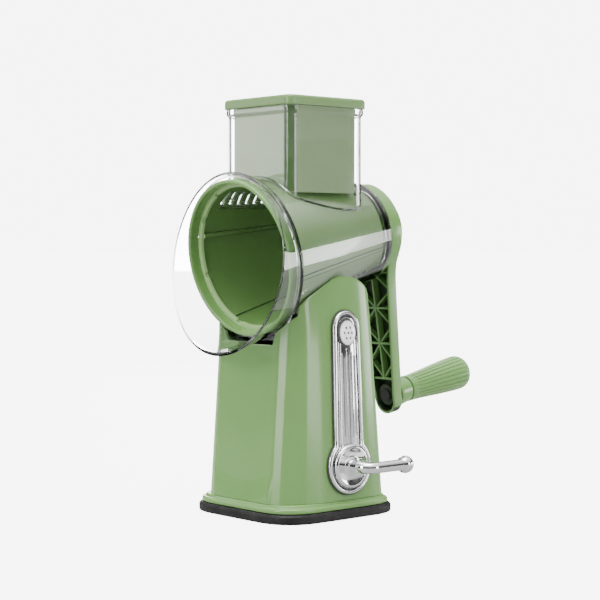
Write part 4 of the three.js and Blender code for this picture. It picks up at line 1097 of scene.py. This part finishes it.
def makeTrim():
    t, g = trim, trim["gap"]
    steps = softProfile([(0, g), (0, g + 1.9), (0.9, g + 2.9), (1.9, g + 3.0), (2.6, g + 2.5),
                         (t["rim"], g + 1.2), (t["rim"], g)], 0.5)
    rings = np.stack([keyholeRing(i, o) for i, o in steps])
    points, faces = skin(rings, closeRings=True)
    rim = toMesh("trim_frame_skin", [(onSide(points), faces)], 40)
    settle(rim, "chrome", "stand", "chrome_trim", "trim_frame")
    # black strips in the gaps at the chrome rim's two edges, painted shade of the gaps
    shadowGaps = [[(t["rim"] - 0.1, g), (t["rim"] - 0.1, g + 0.9), (t["rim"] + 1.4, g + 0.9), (t["rim"] + 1.4, g)],
            [(-0.7, g), (-0.7, g + 1.0), (0.2, g + 1.3), (0.2, g)]]
    parts = [skin(np.stack([keyholeRing(i, o) for i, o in shadowGap]), closeRings=True) for shadowGap in shadowGaps]
    shadow = toMesh("trim_shadowGap", [(onSide(points), faces) for points, faces in parts], 40)
    settle(shadow, "black", "stand", "black_plastic")


def makeInlay():
    # rings inset from the keyhole's outline; the height is a low dome, 0.5 (2 share - share^2)
    # towards the middle, less 0.7 exp(-(distance / 0.45)^2) round a groove near its edge
    t, low = trim, trim["gap"]
    first, last = t["rim"] + 1.2, t["halfTop"] - 0.03
    inset = np.linspace(first, last, 60)
    share = (inset - first) / (last - first)
    out = low + t["inlay"] - 0.3 + 0.5 * (2 * share - share ** 2)
    out = out - 0.7 * np.exp(-((inset - first - 1.5) / 0.45) ** 2)
    steps = [(first, low), (first, low + 0.8), *zip(inset + 0.15, out), (last + 0.01, low)]
    points, faces = skin(np.stack([keyholeRing(i, o) for i, o in steps]), closeRings=True)
    inlay = toMesh("trim_inlay_skin", [(onSide(points), faces)], 40)
    settle(inlay, "chrome", "stand", "chrome_trim", "trim_inlay")
    # straight ribs between the button and the dial, each with a black strip beside it, painted shade of a
    # groove; a black collar round the button paints the shade round it
    top = low + t["inlay"] + 0.2
    ribs, shadeLines = [], []
    for across, half, *span in t["ribs"]:
        start, end = (np.array(span) - leverPoint[2]) / sideUp[2]
        ribs.append(sideRib(across, half, start, end, top - 0.6, top + 0.45))
        shadeLines.append(sideRib(across + half + 0.5, 0.42, start + 0.5, end - 0.5, top - 0.6, top + 0.12))
    b = np.linspace(0, 2 * np.pi, 64, endpoint=False)
    rise = (t["buttonZ"] - leverPoint[2]) / sideUp[2]
    halfAcross, halfUp = t["buttonHalf"]
    # a black collar round the button: painted shade where the button meets the inlay
    collar = ((-0.5, -1), (1.5, -1), (1.5, 0.15), (1.0, 0.35), (-0.5, 0.35))
    rings = [np.column_stack([np.full(64, top + lift), (halfAcross + grow) * np.cos(b),
                              rise + (halfUp + grow) * np.sin(b)]) for grow, lift in collar]
    points, faces = skin(np.stack(rings), closeRings=True)
    shadeLines.append((onSide(points), faces))
    settle(toMesh("trim_ribs", ribs, 40), "chrome", "stand", "chrome_trim")
    settle(toMesh("trim_shadeLines", shadeLines, 40), "black", "stand", "black_plastic")


def sideRib(across, half, start, end, low, high):
    # a round-ended bar on the stand's right side, its top rounded over by a third of its width
    a = np.linspace(0, np.pi, 12)
    outline = np.vstack([np.column_stack([half * np.cos(a), end + half * np.sin(a)]),
                         np.column_stack([-half * np.cos(a), start - half * np.sin(a)])])
    rings = []
    for shrink, height in ((0, low), (0, high - half * 0.66), (0.12, high - half * 0.3), (0.45, high)):
        middle = np.column_stack([outline[:, 0] * (1 - shrink), outline[:, 1]])
        rings.append(np.column_stack([np.full(len(middle), height), across + middle[:, 0], middle[:, 1]]))
    points, faces = skin(np.stack(rings), fanned=False)
    return onSide(points), faces


def makeButton():
    # an oval dome: height = proud - 0.3 - 0.7 share^4, less a small hollow
    # 0.7 exp(-(distance / 0.75)^2) at its middle and at six places round it
    t = trim
    share = np.linspace(0.02, 1, 40)[:, None]
    a = np.linspace(0, 2 * np.pi, 120, endpoint=False)[None, :]
    across, up = t["buttonHalf"][0] * share * np.cos(a), t["buttonHalf"][1] * share * np.sin(a)
    b = np.linspace(0, 2 * np.pi, 6, endpoint=False)
    spots = [(0, 0), *zip(3.6 * np.cos(b), 4.4 * np.sin(b))]
    hollows = sum(np.exp(-(((across - y) ** 2 + (up - z) ** 2) / 0.75 ** 2)) for y, z in spots)
    face = t["inlay"] + t["gap"] + t["proud"] - 0.3 - 0.7 * share ** 4 - 0.7 * hollows
    rise = (t["buttonZ"] - leverPoint[2]) / sideUp[2]
    top = np.stack([face + 0 * a, across, rise + up], -1)
    edge = top[-1:].copy()
    skirt = np.concatenate([edge + [-0.5, 0, 0], edge + [-4.5, 0, 0]])
    points, faces = skin(np.concatenate([top, skirt]))
    button = toMesh("release_button_skin", [(onSide(points), faces)], 50)
    settle(button, "satin", "button", "chrome_trim", "release_button")

    def inHollow(at, normal):
        place = onAxis(at)
        away = [np.hypot(place[:, 1] - leverPoint[1] - y, (place[:, 2] - t["buttonZ"]) - z) for y, z in spots]
        return np.min(away, axis=0) < 0.85

    # painted shade: the button's hollows are given black
    shadeFaces(button, "black", inHollow)


def makeDial():
    # a dished disc turned round the lever's axis
    low, high = boxOf("lever_dial")
    x0, x1, r = low[0], high[0], trim["dial"]
    profile = softProfile([(0.1, x0), (r, x0), (r, x1 - 2.0), (r - 1.6, x1 - 0.6), (r - 3.2, x1 - 0.9),
                           (7.5, x1 - 1.6), (5.4, x1), (0.1, x1)], 0.8, 5)
    a = np.linspace(0, 2 * np.pi, 120, endpoint=False)
    rr, x = profile[:, :1], profile[:, 1:]
    rings = np.stack([x + 0 * a, leverPoint[1] + rr * np.cos(a), leverPoint[2] + rr * np.sin(a)], -1)
    dial = toMesh("lever_dial_skin", [skin(rings)], 40)
    settle(dial, "chrome", "lever", "chrome_trim", "lever_dial")


makeTrim()
makeInlay()
makeButton()
makeDial()


lever = {"stub": 15.8, "reach": 37.0, "bend": 8.0, "thick": 5.2, "thin": 4.2, "ball": 6.6}


def makeLever():
    # the arm: a round rod whose middle line leaves the dial, bends, and runs to the ball
    stub, reach, bend = lever["stub"], lever["reach"], lever["bend"]
    x0, y0, z0 = boxOf("lever_dial")[1][0], leverPoint[1], leverPoint[2]
    a = np.linspace(0, np.pi / 2, 14)
    first = np.column_stack([np.linspace(x0 - 1, x0 + stub - bend, 6), np.full(6, y0)])
    turn = np.column_stack([x0 + stub - bend + bend * np.sin(a), y0 + bend - bend * np.cos(a)])
    last = np.column_stack([np.full(8, x0 + stub), np.linspace(y0 + bend, y0 + reach, 8)])
    line = np.vstack([first, turn[1:-1], last])
    middle = np.column_stack([line, np.full(len(line), z0)])
    ahead = np.gradient(middle, axis=0)
    ahead = ahead / np.linalg.norm(ahead, axis=1, keepdims=True)
    side = np.cross(ahead, [0, 0, 1.0])
    share = np.linspace(0, 1, len(line))
    thick = lever["thick"] - (lever["thick"] - lever["thin"]) * smoothStep(share * 2)
    b = np.linspace(0, 2 * np.pi, 40, endpoint=False)
    round_ = side[:, None] * np.cos(b)[None, :, None] + np.array([0, 0, 1.0]) * np.sin(b)[None, :, None]
    rod = skin(middle[:, None] + round_ * thick[:, None, None])
    c = np.linspace(-np.pi / 2, np.pi / 2, 30)[1:-1, None]
    r = lever["ball"]
    ballRings = np.stack([r * np.cos(c) * np.cos(b), r * np.sin(c) + 0 * b, r * np.cos(c) * np.sin(b)], -1)
    ball = skin(ballRings + middle[-1])
    arm = toMesh("lever_rod", [rod], 40)
    carve(arm, toMesh("ball", [ball], 40), operation="UNION", sharp=40)
    settle(arm, "chrome", "lever", "chrome_trim", "lever_arm")


makeLever()
print("stage: trim and lever done")

# ---------- floor, the nodes that stay, and the end ----------
nodeFinish = {
    "rubber": "rubber", "green_plastic": "green", "steel": "steel", "black_plastic": "black",
    "chrome_trim": "chrome", "clear_plastic": "clear",
}


def dressNodes():
    slots = {part["node"]: part["material_slot"] for part in frame["record"]["subparts"]}
    for name, node in frame["nodes"].items():
        node.data.materials.clear()
        # the grip's pin gets the nearly black steel, painted shade in its socket
        node.data.materials.append(finish["darkSteel" if name == "grip_pin" else nodeFinish[slots[name]]])


def addFloor():
    mesh = bpy.data.meshes.new("floor")
    half = studio["floorHalf"]
    corners = [(-half, -half, 0), (half, -half, 0), (half, half, 0), (-half, half, 0)]
    mesh.from_pydata(corners, [], [(0, 1, 2, 3)])
    floor = bpy.data.objects.new("floor", mesh)
    bpy.context.scene.collection.objects.link(floor)
    pale = studio["floor"]
    material, tree, shader = newMaterial("paleFloor", (pale, pale, pale), 0.6)
    shader.inputs["Emission Color"].default_value = (1, 1, 1, 1)
    glow = ramp(tree, seenStraight(tree), 0, 1, studio["floorGlow"], studio["floorSeen"])
    tree.links.new(glow, shader.inputs["Emission Strength"])
    mesh.materials.append(material)


dressNodes()
addFloor()
bpy.context.view_layer.update()
